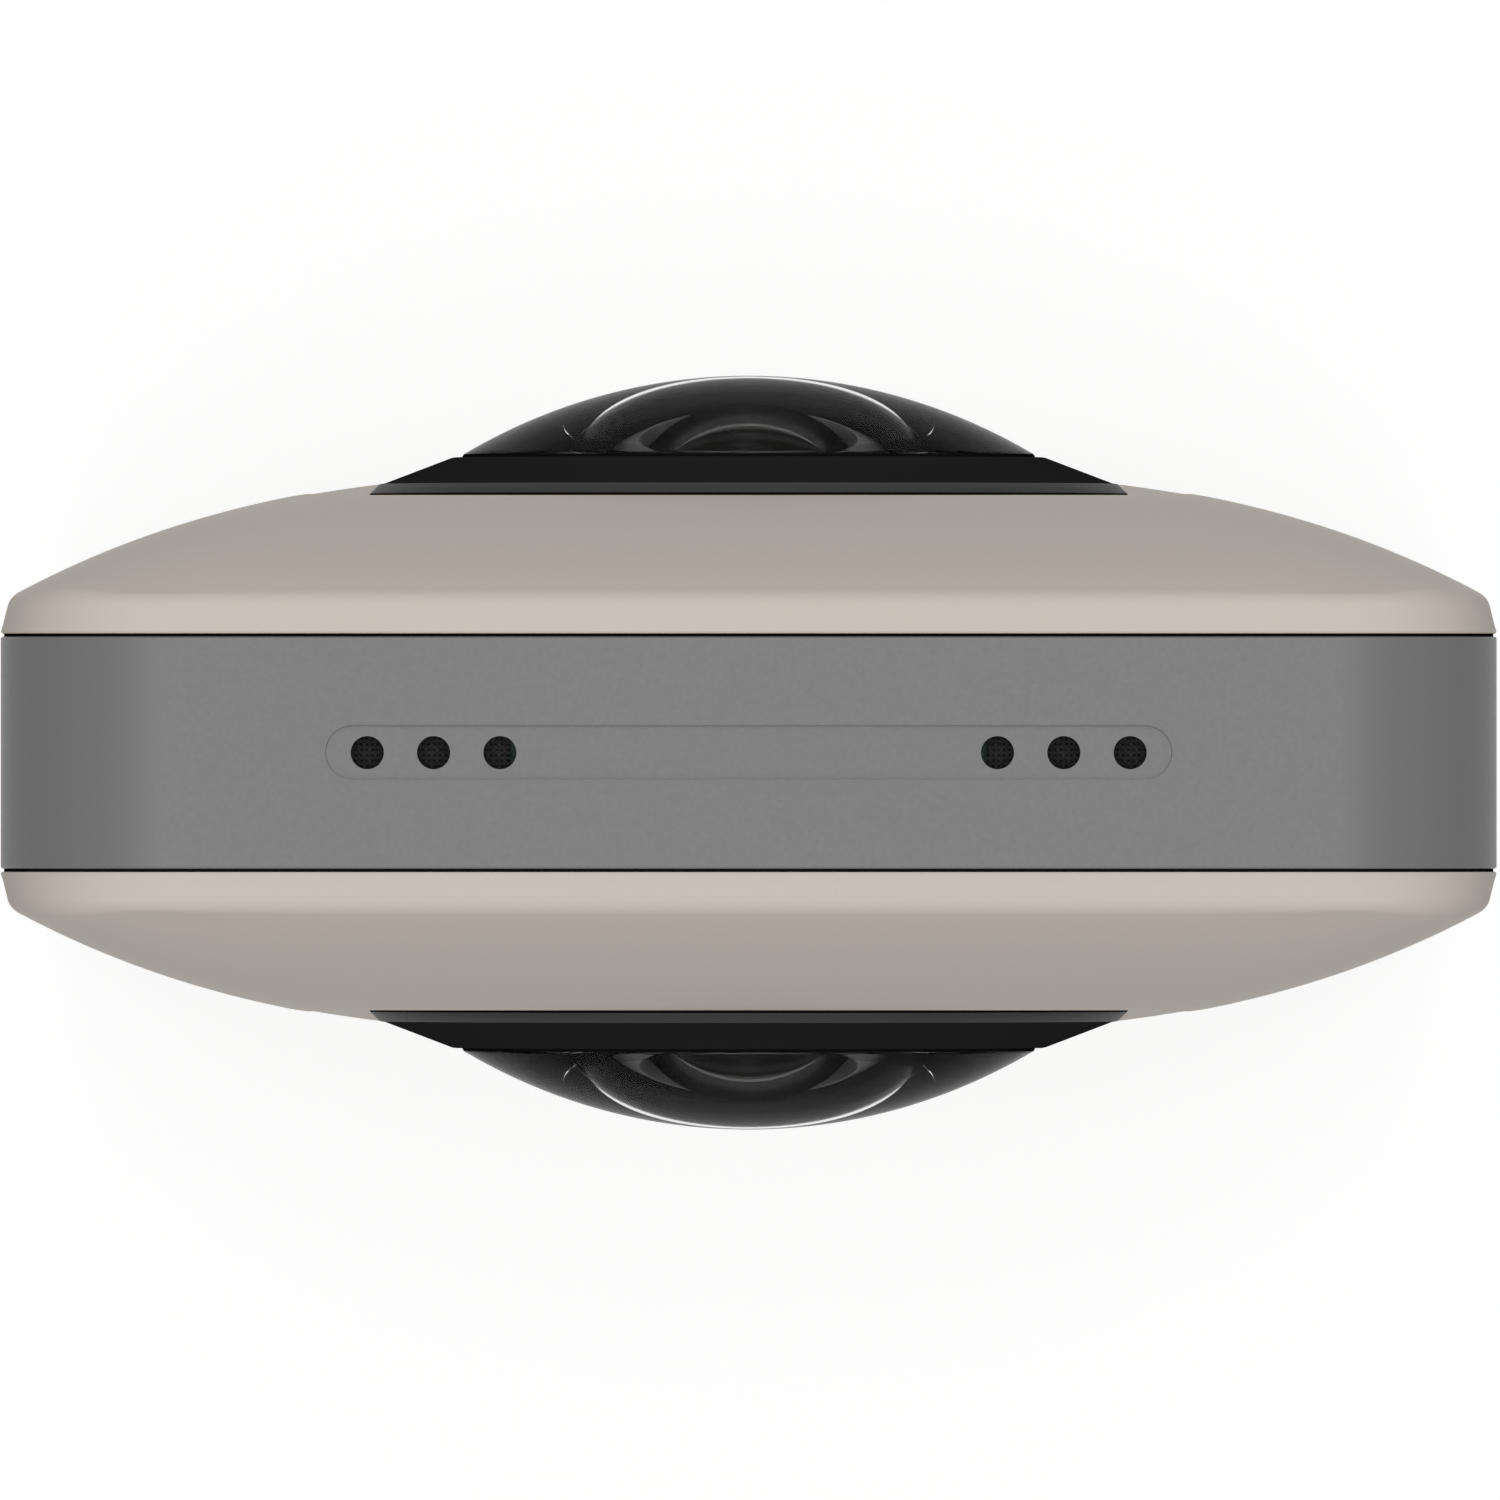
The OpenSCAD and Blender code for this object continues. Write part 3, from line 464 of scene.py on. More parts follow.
def grey(level):
    return (level, level, level)


def paint_tree(name):
    material = bpy.data.materials.new(name)
    material.use_nodes = True
    return material, material.node_tree, material.node_tree.nodes["Principled BSDF"]


def noise(tree, place, scale, detail):
    return add(tree, "ShaderNodeTexNoise", {"Vector": place, "Scale": scale, "Detail": detail}).outputs["Fac"]


def spread(tree, value, low, high):
    """Stretch the middle half of a noise over a range."""
    return add(tree, "ShaderNodeMapRange", {"Value": value, "From Min": 0.25, "From Max": 0.75, "To Min": low,
                                            "To Max": high}).outputs["Result"]


def finish(name, colour, rough, grain=0.3, tint=0.04, rough_spread=0.04, height=0.004, stretch=(1, 1, 1),
           metallic=0.0, specular=0.5, rings=None):
    """A moulded, cast or drawn finish. Grain, height and rings, the pitch of turning, are millimetres."""
    material, tree, shader = paint_tree(name)
    place = add(tree, "ShaderNodeTexCoord").outputs["Object"]
    drawn = add(tree, "ShaderNodeMapping", {"Vector": place, "Scale": stretch}).outputs["Vector"]
    fine = noise(tree, drawn, 1 / (grain * MM), 3.0)
    broad = noise(tree, place, BROAD_SCALE, 2.0)
    half = add(tree, "ShaderNodeMath", {0: broad, 1: 0.5}, operation="MULTIPLY").outputs[0]
    both = add(tree, "ShaderNodeMath", {0: fine, 1: 0.5, 2: half}, operation="MULTIPLY_ADD").outputs[0]
    darker = [c * (1 - tint) for c in colour] + [1]
    lighter = [min(1, c * (1 + tint)) for c in colour] + [1]
    blend = add(tree, "ShaderNodeMix", {"A": darker, "B": lighter, "Factor": both}, data_type="RGBA")
    relief = fine
    if rings:
        relief = add(tree, "ShaderNodeTexWave", {"Vector": place, "Scale": RING_TURN / (rings * MM)},
                     wave_type="RINGS", rings_direction="Z").outputs["Fac"]
    bump = add(tree, "ShaderNodeBump", {"Strength": 1.0, "Distance": height * MM, "Height": relief})
    fill(tree, shader, {
        "Base Color": blend.outputs["Result"], "Metallic": metallic, "Specular IOR Level": specular,
        "Roughness": spread(tree, fine, rough - rough_spread, rough + rough_spread),
        "Normal": bump.outputs["Normal"]})
    return material


def glass(name, colour, index, kept=None):
    """Polished glass, faintly hazed. A coated one keeps a share of each strength of reflection."""
    material, tree, shader = paint_tree(name)
    haze = noise(tree, add(tree, "ShaderNodeTexCoord").outputs["Object"], HAZE_SCALE, 2.0)
    fill(tree, shader, {"Base Color": [*colour, 1], "Transmission Weight": 1.0, "IOR": index,
                        "Roughness": spread(tree, haze, 0.0, HAZE_MOST)})
    if kept:
        through = add(tree, "ShaderNodeBsdfRefraction", {
            "Color": [*[math.sqrt(c) for c in colour], 1], "Roughness": 0.0, "IOR": index})
        slant = add(tree, "ShaderNodeFresnel", {"IOR": index})
        share = add(tree, "ShaderNodeValToRGB", {0: slant.outputs["Fac"]})
        stops = share.color_ramp.elements
        while len(stops) < len(kept):
            stops.new(0.5)
        for stop, (strength, part) in zip(stops, kept):
            stop.position = strength
            stop.color = (part, part, part, 1)
        coating = add(tree, "ShaderNodeMixShader", {
            "Fac": share.outputs["Color"], 1: through.outputs["BSDF"], 2: shader.outputs["BSDF"]})
        fill(tree, tree.nodes["Material Output"], {"Surface": coating.outputs["Shader"]})
    return material


# The finish of each material slot
PAINTS = {
    "band_grey": finish("band_grey_moulding", grey(0.17), 0.44, grain=0.16, tint=0.03, height=0.003,
                        specular=0.25),
    "cover_beige": finish("cover_beige_moulding", (0.64, 0.588, 0.522), 0.5, grain=0.2, tint=0.02,
                          height=0.002, specular=0.06),
    "frame_alloy": finish("frame_cast_alloy", (0.3, 0.3, 0.31), 0.5, grain=0.35, tint=0.08, height=0.02,
                          metallic=0.8),
    "block_alloy": finish("block_black_alloy", grey(0.1), 0.45, grain=0.2, metallic=0.5),
    "ring_black": finish("ring_black_anodised", grey(0.023), 0.6, grain=0.1, tint=0.1, specular=0.0),
    "dome_glass": glass("dome_coated_glass", grey(0.75), 1.5, ((0.042, 0.15), (0.08, 0.034), (1.0, 0.42))),
    "lens_glass": glass("lens_coated_glass", grey(0.4), 1.5, ((0.042, 0.15), (0.08, 0.02), (1.0, 0.08))),
    "matte_black": finish("barrel_matt_black", grey(0.008), 0.7, grain=0.15, tint=0.15, specular=0.0),
    "retainer_grey": finish("retainer_blasted_grey", grey(0.15), 0.5, grain=0.08, height=0.006, metallic=0.6),
    "key_grey": finish("key_grey_moulding", grey(0.19), 0.45, grain=0.15, tint=0.03, height=0.003),
    "switch_steel": finish("stamped_steel", grey(0.55), 0.32, grain=0.12, stretch=(1, 1, 0.08), metallic=1.0),
    "board_green": finish("board_solder_mask", (0.02, 0.12, 0.06), 0.4, grain=1.4, tint=0.3, height=0.01),
    "shield_tin": finish("shield_tinned_sheet", (0.6, 0.6, 0.58), 0.35, grain=0.5, tint=0.06, metallic=1.0),
    "chip_black": finish("chip_moulded_epoxy", (0.02, 0.02, 0.022), 0.6, grain=0.12, tint=0.12),
    "connector_ivory": finish("connector_ivory", (0.7, 0.66, 0.55), 0.5, grain=0.3),
    "battery_wrap": finish("battery_foil", (0.25, 0.26, 0.28), 0.38, grain=2.2, tint=0.1, height=0.05,
                           metallic=0.7),
    "tape_white": finish("tape_foam", (0.75, 0.75, 0.72), 0.9, grain=0.5, tint=0.06, height=0.05),
    "display_black": finish("display_smoked_window", (0.008, 0.008, 0.009), 0.08, grain=3.0, tint=0.1,
                            rough_spread=0.02, height=0.0005),
    "panel_glass": finish("display_panel_glass", (0.02, 0.03, 0.035), 0.12, grain=1.0, rough_spread=0.03,
                          height=0.0005),
    "lamp_clear": glass("lamp_milky_pipe", (0.86, 0.87, 0.85), 1.49),
    "mesh_black": finish("acoustic_mesh_black", grey(0.033), 0.7, grain=0.05, tint=0.2, specular=0.2),
    "socket_metal": finish("socket_turned_steel", grey(0.5), 0.3, grain=0.2, metallic=1.0, rings=0.12),
    "ribbon_amber": finish("ribbon_amber_film", (0.45, 0.18, 0.03), 0.3, grain=0.6, tint=0.1, height=0.001),
    "screw_steel": finish("screw_plated_steel", (0.55, 0.55, 0.57), 0.28, grain=0.15, metallic=1.0),
}
# The ring's chamfer: a lighter grey than the black ring, a painted highlight along the edge.
ring_edge_highlight_paint = finish("ring_edge_painted_highlight", grey(0.055), 0.5, grain=0.1, tint=0.1, specular=0.04)
hollow_paint = glass("hollow_coated_glass", grey(0.75), 1.5, ((0.0, 0.0), (1.0, 1.0)))
# Black for the blackened lens edges, and also painted shade in the cover seam and on the ring's low wall.
edge_black_and_shade_paint = finish("lens_edge_black_and_painted_shade", grey(0.006), 0.8, grain=0.2, tint=0.15, specular=0.0)
mark_paint = finish("key_mark_white", (0.72, 0.72, 0.7), 0.6, grain=0.1, tint=0.03)
contact_paint = finish("contact_gilt", (0.72, 0.52, 0.2), 0.25, grain=0.3, tint=0.06, metallic=1.0)

for subpart in frame["record"]["subparts"]:
    node_mesh = frame["nodes"][subpart["node"]].data
    node_mesh.materials.clear()
    node_mesh.materials.append(PAINTS[subpart["material_slot"]])


# Covers: a flat sheet of rings, raised by one crown rule
def crown_tree():
    """Raises each point by its share of the crown's depth at its foot."""
    tree = ShapeTree("cover_crown")
    size = {label: tree.size(label) for label in CROWN_RULE}
    do = tree.math
    foot = tree.new("GeometryNodeInputNamedAttribute", {"Name": "foot"}, data_type="FLOAT_VECTOR")
    share = tree.new("GeometryNodeInputNamedAttribute", {"Name": "share"}, data_type="FLOAT")
    x, _, z = tree.parts(foot)
    across = do("DIVIDE", do("ABSOLUTE", x), size["Half width"])
    along = do("DIVIDE", do("ABSOLUTE", do("SUBTRACT", z, size["Middle height"])), size["Half height"])
    side_fall = do("POWER", across, do("MULTIPLY", size["Side power"], size["Blend"]))
    end_fall = do("POWER", along, do("MULTIPLY", size["End power"], size["Blend"]))
    fall = do("POWER", do("ADD", side_fall, end_fall), do("DIVIDE", 1.0, size["Blend"]))
    drop = do("MULTIPLY", do("SUBTRACT", size["Crown depth"], size["Edge depth"]), fall)
    plain = do("SUBTRACT", size["Crown depth"], drop)
    up = do("MINIMUM", do("SUBTRACT", z, size["Lens height"]), 0.0)
    reach = do("SQRT", do("ADD", do("MULTIPLY", x, x), do("MULTIPLY", up, up)))
    out = do("MAXIMUM", do("SUBTRACT", reach, size["Land radius"]), 0.0)
    rise = do("DIVIDE", do("MULTIPLY", out, out), do("MULTIPLY", size["Land bend"], 2.0))
    land = do("ADD", size["Land depth"], rise)
    gap = do("SUBTRACT", plain, land)
    soft = do("MULTIPLY", size["Land softness"], size["Land softness"])
    round_off = do("SQRT", do("ADD", do("MULTIPLY", gap, gap), soft))
    depth = do("MULTIPLY", do("SUBTRACT", do("ADD", plain, land), round_off), 0.5)
    raised = do("MULTIPLY", do("MULTIPLY", depth, share), -1.0)
    tree.close(tree.move(tree.enter.outputs[0], tree.vector(Y=raised)), PAINTS["cover_beige"])
    return tree


def crown(x, z):
    """The same rule for one point, for pieces that sit on the face."""
    rule = CROWN_RULE
    fall = (abs(x) / rule["Half width"]) ** (rule["Side power"] * rule["Blend"])
    fall += (abs(z - rule["Middle height"]) / rule["Half height"]) ** (rule["End power"] * rule["Blend"])
    plain = rule["Crown depth"] - (rule["Crown depth"] - rule["Edge depth"]) * fall ** (1 / rule["Blend"])
    out = max(0.0, math.hypot(x, min(0.0, z - rule["Lens height"])) - rule["Land radius"])
    land = rule["Land depth"] + out * out / (2 * rule["Land bend"])
    return (plain + land - math.hypot(plain - land, rule["Land softness"])) / 2


def cover_sheet():
    """Flat rings with their fixed depth, and where and how far each point follows the crown."""
    outline = rounded_outline(2 * HALF_W, BODY_H, CORNER_R, bend=20, along_w=40, along_h=130)
    outline = [(u, v + BODY_H / 2, nu, nv) for u, v, nu, nv in outline]

    def spine(p):
        if abs(p[3]) > BARELY:
            return (0.0, SPINE_HIGH if p[1] > BODY_H / 2 else SPINE_LOW)
        return (0.0, min(max(p[1], SPINE_LOW), SPINE_HIGH))

    def pulled(p, distance):
        return (p[0] - distance * p[2], p[1] - distance * p[3])

    rings = []

    def face_ring(distance, share, sunk):
        ring = []
        for p in outline:
            a, b = spine(p), pulled(p, distance)
            q = (a[0] + share * (b[0] - a[0]), a[1] + share * (b[1] - a[1]))
            ring.append((q, sunk, q, 1.0))
        rings.append(ring)

    def fixed_ring(distance, depth):
        rings.append([(pulled(p, distance), -depth, (0.0, LENS_Z), 0.0) for p in outline])

    outer = [0.0] + [0.03 + 0.97 * (i / 44) ** 0.85 for i in range(45)]
    for share in outer:
        face_ring(CROWN_INSET, share, 0.0)
    for i in range(9, -1, -1):
        t = i / 10
        low, bend, high = (1 - t) ** 2, 2 * t * (1 - t), t * t
        ring = []
        for p in outline:
            a, b, c = pulled(p, EDGE_DRAFT), pulled(p, SHOULDER_LEAN), pulled(p, CROWN_INSET)
            q = tuple(low * a[k] + bend * b[k] + high * c[k] for k in (0, 1))
            ring.append((q, -(low * EDGE_D + bend * SHOULDER_D), c, high))
        rings.append(ring)
    for share in (0.35, 0.7):
        fixed_ring(EDGE_DRAFT * (1 - share), EDGE_D + (SEAM_D - EDGE_D) * share)
    for distance, depth in ((0.0, SEAM_D + 0.05), (0.04, SEAM_D), (RIM_STEP, SEAM_D), (RIM_STEP, BAND_HALF_D),
                            (RIM_IN, BAND_HALF_D)):
        fixed_ring(distance, depth)
    for share in (1, 0.95, 0.88, 0.8, 0.7, 0.6, 0.5, 0.4, 0.3, 0.2, 0.1, 0):
        face_ring(INNER_INSET, share, COVER_WALL)

    n = len(outline)
    cells = [cell for ring in rings for cell in ring]
    points = [(q[0], fixed, q[1]) for q, fixed, _, _ in cells]
    faces = []
    for k in range(len(rings) - 1):
        for i in range(n):
            j = (i + 1) % n
            faces.append((k * n + i, k * n + j, (k + 1) * n + j, (k + 1) * n + i))
    mesh = bpy.data.meshes.new("cover_sheet")
    mesh.from_pydata(points, [], faces)
    feet = mesh.attributes.new("foot", "FLOAT_VECTOR", "POINT")
    feet.data.foreach_set("vector", [c for _, _, f, _ in cells for c in (f[0], 0.0, f[1])])
    shares = mesh.attributes.new("share", "FLOAT", "POINT")
    shares.data.foreach_set("value", [s for _, _, _, s in cells])
    return mesh


def lens_cutter():
    """The seat of a lens ring, with a fine gap round it."""
    hole, seat, lip = RING_FOOT_R + 0.1, RING_R + 0.08, RING_R + 0.14
    profile = [(0, 1), (hole, 1), (hole, RING_SEAT), (seat, RING_SEAT), (seat, LAND_D - 0.1),
               (lip, LAND_D - 0.04), (lip, CUT_CLEAR), (0, CUT_CLEAR)]
    return lathe("lens_cutter", profile)


def socket_cutter():
    """Room for the tripod socket in the cover's lower wall."""
    room = SOCKET_R + 0.15
    return lathe("socket_cutter", [(0, -2), (room, -2), (room, 7), (0, 7)], axis="up", turns=128)


POST_R = 1.1
POST_FOOT = 1.25
PEG_R = 0.8
PEG_TIP = -0.35


def post(x, z, peg):
    """A post from the frame to the inside of the cover, with or without a peg."""
    top = crown(x, z) - COVER_WALL / 2
    profile = [(POST_R, POST_FOOT), (POST_R, top), (0, top)]
    if peg:
        profile = [(0, PEG_TIP), (PEG_R - 0.1, PEG_TIP), (PEG_R, PEG_TIP + 0.1), (PEG_R, POST_FOOT)] + profile
    else:
        profile = [(0, POST_FOOT)] + profile
    piece = lathe("post", profile, height=z, turns=32)
    piece.data.transform(Matrix.Translation((x, 0, 0)))
    return piece


def in_seam_shade(face):
    """The groove between band and cover, whose faces get black paint as painted shade."""
    return BAND_HALF_D - 0.01 < abs(face.center.y) < SEAM_D + 0.005


def eased_drill(name, radius, below, ease, height, turns=192):
    """A round cutter through the front face, wider by the ease where it leaves it."""
    lip = radius + ease
    return lathe(name, [(0, CUT_DEEP), (radius, CUT_DEEP), (radius, CROWN_D - below), (lip, CROWN_D + 0.02),
                        (lip, CUT_CLEAR), (0, CUT_CLEAR)], height=height, turns=turns)


front_cover = crown_tree().grow("front_cover_shell", CROWN_RULE, cover_sheet())
for leftover in ("foot", "share"):
    found = front_cover.data.attributes.get(leftover)
    if found:
        front_cover.data.attributes.remove(found)
clean(front_cover.data)
rear_cover = new_piece("rear_cover_shell", front_cover.data.copy())

shutter_cutter = eased_drill("shutter_cutter", SHUTTER_R + 0.12, 0.12, 0.13, SHUTTER_Z)
lamp_cutter = eased_drill("lamp_cutter", LAMP_R + 0.05, 0.06, 0.08, LAMP_Z, turns=48)
recess_line = rounded_outline(DISPLAY_W + 0.1, DISPLAY_H + 0.1, 0.85, along_w=8, along_h=3)
recess_cutter = loft("recess_cutter", rings_of(upright, recess_line, (
    (0, WINDOW_BACK), (0, CROWN_D - 0.22), (-0.2, CROWN_D - 0.02), (-0.2, CUT_CLEAR)), DISPLAY_Z))
opening_line = rounded_outline(DISPLAY_W - 2.8, DISPLAY_H - 1.4, 0.3)
opening_cutter = loft("opening_cutter", rings_of(upright, opening_line, ((0, CUT_DEEP), (0, 9)), DISPLAY_Z))
front_posts = [(-3, 10.5), (3, 10.5), (-19.55, 119.5), (19.55, 119.5)]
rear_posts = [(0, 10.5), (-19.55, 111.0), (19.55, 111.0)]

carve(front_cover, [post(x, z, False) for x, z in front_posts], "UNION")
carve(front_cover, [lens_cutter(), socket_cutter(), shutter_cutter, lamp_cutter, recess_cutter,
                    opening_cutter])
carve(rear_cover, [post(x, z, True) for x, z in rear_posts], "UNION")
carve(rear_cover, [lens_cutter(), socket_cutter()])
half_turn(rear_cover)
for cover, node in ((front_cover, "front_cover"), (rear_cover, "rear_cover")):
    # The seam groove's faces take the black paint: painted shade.
    paint_by(cover, in_seam_shade, 1)
    settle(cover, "camera", "cover_beige", node, [edge_black_and_shade_paint])


# Band: a closed hoop, then its openings
DRILL_SIZES = {"Hole radius": HOLE_R, "Hole pitch": HOLE_PITCH, "Group distance": HOLE_X,
               "Top height": BODY_H - 1, "Drill length": 6.0}


def drill_tree():
    """Drills for the sound holes, in two rows of three."""
    tree = ShapeTree("sound_hole_drills")
    radius, pitch, middle, top, length = tree.sizes(*DRILL_SIZES)
    drill = tree.new("GeometryNodeMeshCylinder", {"Vertices": 64, "Radius": radius, "Depth": length},
                     fill_type="NGON")
    rows = []
    for side in (-1.0, 1.0):
        first = tree.math("SUBTRACT", tree.math("MULTIPLY", middle, side), pitch)
        rows.append(tree.row(drill, 3, tree.vector(X=first, Z=top), tree.vector(X=pitch)))
    tree.close(tree.join(*rows), PAINTS["band_grey"])
    return tree


hoop_line = rounded_outline(2 * HALF_W, BODY_H, CORNER_R, bend=32, along_w=24, along_h=70)
hoop_steps = [(BAND_EASE, BAND_HALF_D), (0, BAND_HALF_D - BAND_EASE), (0, BAND_HALF_D / 2), (0, 0),
              (0, -BAND_HALF_D / 2), (0, BAND_EASE - BAND_HALF_D), (BAND_EASE, -BAND_HALF_D),
              (BAND_WALL, -BAND_HALF_D), (BAND_WALL, BAND_HALF_D)]
band = loft("side_band_hoop", rings_of(upright, hoop_line, hoop_steps, BODY_H / 2), closed=True)
drills = drill_tree().grow("drills", DRILL_SIZES)
pill_line = rounded_outline(PILL_L, PILL_W, PILL_W / 2 - BARELY, bend=24, along_w=12)
pill_lip = [(x, y + PILL_LEAN, z) for x, y, z in level_ring(inset(pill_line, -0.03), BODY_H + 0.02)]
pill_rings = rings_of(level_ring, pill_line, ((0, PILL_FLOOR), (0, BODY_H - 0.03)))
pill_cutter = loft("pill_cutter", [*pill_rings, pill_lip, [(x, y, z + 1) for x, y, z in pill_lip]])
key_hole_w = KEY_W + 2 * KEY_GAP
key_line = rounded_outline(KEY_L + 2 * KEY_GAP, key_hole_w, key_hole_w / 2 - BARELY, bend=20)
key_steps = ((0, 20), (0, KEY_FACE + 0.02), (-0.12, KEY_FACE + 0.14), (-0.12, 24))
key_cutters = [loft("key_cutter", rings_of(side_ring, key_line, key_steps, height))
               for height in KEY_HEIGHTS.values()]
socket_hole = SOCKET_R + 0.1
tripod_cutter = lathe("tripod_cutter", [(0, -1), (socket_hole + 0.08, -1), (socket_hole + 0.08, -0.01),
                                        (socket_hole, 0.08), (socket_hole, CUT_DEEP), (0, CUT_DEEP)],
                      axis="up", turns=128)
usb_line = rounded_outline(8.3, 3.3, 0.6, bend=10)
usb_steps = ((-0.12, -1), (-0.12, -0.02), (0, 0.1), (0, CUT_DEEP))
usb_cutter = loft("usb_cutter", rings_of(level_ring, usb_line, usb_steps, USB_X))
carve(band, [pill_cutter, drills, *key_cutters, tripod_cutter, usb_cutter])
settle(band, "camera", "band_grey", "side_band")


# Lens groups, front and back
def depth_and_radius(face):
    c = face.center
    return -c.y, math.hypot(c.x, c.z - LENS_Z)


# The ring's chamfer faces, painted lighter as a painted highlight.
def on_ring_edge_highlight(depth, radius):
    return CHAMFER_LOW + BARELY < depth < CHAMFER_TOP + 0.01 and radius > RING_R - 0.44


# The ring's low outer wall, painted the darkest black as painted shade under the ring.
def on_ring_wall_shade(depth, radius):
    return depth < CHAMFER_LOW + BARELY and radius > RING_R - 0.04


def on_dome_rim(depth, radius):
    return depth < DOME_EDGE + 0.06 and radius > DOME_R - 0.03 or depth < STACK_D + BARELY


def on_hollow(depth, radius):
    return math.hypot(depth - HOLLOW_BASE, radius) < HOLLOW_SPHERE + 0.05 and depth > STACK_D + BARELY


def on_hollow_edge(depth, radius):
    return on_hollow(depth, radius) and radius > HOLLOW_EDGE_R


def on_second_rim(depth, radius):
    return radius > SECOND_R - 0.006 or depth < SECOND_D + BARELY


def on_third_rim(depth, radius):
    return radius > THIRD_R - 0.02


def lens_group(side):
    """Ring, dome, barrel, retaining ring and inner lenses, all turned round the lens axis."""
    def made(name, profile, slot, node, painters=(), others=(), turns=192, sharp=28):
        piece = lathe(f"{side}_{name}", profile, turns=turns)
        for index, painter in enumerate(painters):
            paint_by(piece, lambda face: painter(*depth_and_radius(face)), index + 1)
        if side == "rear":
            half_turn(piece)
        settle(piece, "camera", slot, f"{side}_{node}", others, sharp)

    ring = [(RING_BORE, STACK_D), (RING_FOOT_R, STACK_D), (RING_FOOT_R, RING_SEAT), (RING_R, RING_SEAT),
            (RING_R, CHAMFER_LOW - 0.02), (RING_R - 0.01, CHAMFER_LOW), (RING_R - 0.3, CHAMFER_TOP),
            (RING_R - 0.34, CHAMFER_TOP + 0.015), (RING_R - 0.46, CHAMFER_TOP + 0.03),
            (RING_BORE + 0.28, RING_TOP - 0.02), (RING_BORE + 0.21, RING_TOP - 0.005),
            (RING_BORE + 0.16, RING_TOP), (RING_BORE + 0.03, RING_TOP), (RING_BORE, RING_TOP - 0.02)]
    # The chamfer gets a painted highlight and the low wall gets painted shade.
    made("ring_turned", ring, "ring_black", "lens_ring", [on_ring_edge_highlight, on_ring_wall_shade],
         [ring_edge_highlight_paint, edge_black_and_shade_paint], turns=256)

    outer = arc(DOME_TIP - DOME_SPHERE, DOME_SPHERE, 0, DOME_R - 0.04, 56)
    hollow = arc(HOLLOW_BASE, HOLLOW_SPHERE, HOLLOW_R - 0.03, 0, 56)
    dome = outer + [(DOME_R, DOME_EDGE), (DOME_R, STACK_D), (HOLLOW_R, STACK_D)] + hollow
    made("dome_ground", dome, "dome_glass", "dome_lens", [on_dome_rim, on_hollow, on_hollow_edge],
         [edge_black_and_shade_paint, hollow_paint, PAINTS["lens_glass"]], turns=256, sharp=40)

    barrel_step = BARREL_BASE + 0.7
    retainer_bore, second_bore, third_bore = RETAINER_R + 0.05, SECOND_R + 0.05, THIRD_R + 0.05
    barrel = [(BARREL_BORE, BARREL_BASE), (BARREL_FOOT_R, BARREL_BASE), (BARREL_FOOT_R, barrel_step),
              (BARREL_WAIST_R, barrel_step), (BARREL_WAIST_R, 5), (BARREL_R, 5.9), (BARREL_R, STACK_D - 0.01),
              (5.15, STACK_D - 0.01), (retainer_bore, STACK_D - 0.1), (retainer_bore, RETAINER_D),
              (second_bore, RETAINER_D), (second_bore, SECOND_D), (third_bore, SECOND_D),
              (third_bore, THIRD_D), (BARREL_BORE, THIRD_D)]
    made("barrel_turned", barrel, "matte_black", "lens_barrel")
    retainer = [(RETAINER_BORE, RETAINER_D), (RETAINER_R, RETAINER_D), (RETAINER_R, RETAINER_D + 0.04),
                (RETAINER_R - 0.04, RETAINER_D + 0.08), (RETAINER_BORE + 0.37, RETAINER_D + 0.58),
                (RETAINER_BORE + 0.3, RETAINER_D + 0.6), (RETAINER_BORE + 0.25, RETAINER_D + 0.58)]
    made("retainer_turned", retainer, "retainer_grey", "lens_retainer")

    second = arc(SECOND_TIP - SECOND_SPHERE, SECOND_SPHERE, 0, SECOND_R - 0.01, 32)
    second += [(SECOND_R, SECOND_D + 0.15), (SECOND_R, SECOND_D), (2.69, SECOND_D)]
    second += arc(SECOND_TIP - SECOND_MIDDLE - SECOND_HOLLOW, SECOND_HOLLOW, 2.63, 0, 24)
    made("second_lens_ground", second, "lens_glass", "second_lens", [on_second_rim], [edge_black_and_shade_paint], sharp=40)
    third = arc(THIRD_TIP - THIRD_SPHERE, THIRD_SPHERE, 0, THIRD_R - 0.03, 24)
    third += [(THIRD_R, THIRD_D + 0.55), (THIRD_R, THIRD_D), (0, THIRD_D)]
    made("third_lens_ground", third, "lens_glass", "third_lens", [on_third_rim], [edge_black_and_shade_paint], turns=96,
         sharp=40)


for side_name in ("front", "rear"):
    lens_group(side_name)


# Controls
flange_base = SHUTTER_FLANGE_TOP - 0.85
shutter_profile = [
    (0, SHUTTER_BASE), (SHUTTER_STEM_R - KEY_EASE, SHUTTER_BASE), (SHUTTER_STEM_R, SHUTTER_BASE + KEY_EASE),
    (SHUTTER_STEM_R, flange_base), (SHUTTER_FLANGE_R - KEY_EASE, flange_base),
    (SHUTTER_FLANGE_R, flange_base + KEY_EASE),
    (SHUTTER_FLANGE_R, SHUTTER_FLANGE_TOP - KEY_EASE), (SHUTTER_FLANGE_R - KEY_EASE, SHUTTER_FLANGE_TOP),
    (SHUTTER_R, SHUTTER_FLANGE_TOP)]
for pull, low in ((0, 0.15), (0.011, 0.093), (0.044, 0.044), (0.093, 0.011), (0.15, 0), (0.55, 0)):
    shutter_profile.append((SHUTTER_R - pull, SHUTTER_TOP - low))
for r in (4.8, 4.2, 3.6, 3.0, 2.4, 1.8, 1.2, 0.6, 0):
    shutter_profile.append((r, SHUTTER_TOP - 0.2 + DISH_SPHERE - math.sqrt(DISH_SPHERE ** 2 - r * r)))
shutter = lathe("shutter_cap", shutter_profile, height=SHUTTER_Z)
settle(shutter, "shutter", "key_grey", "shutter_button")


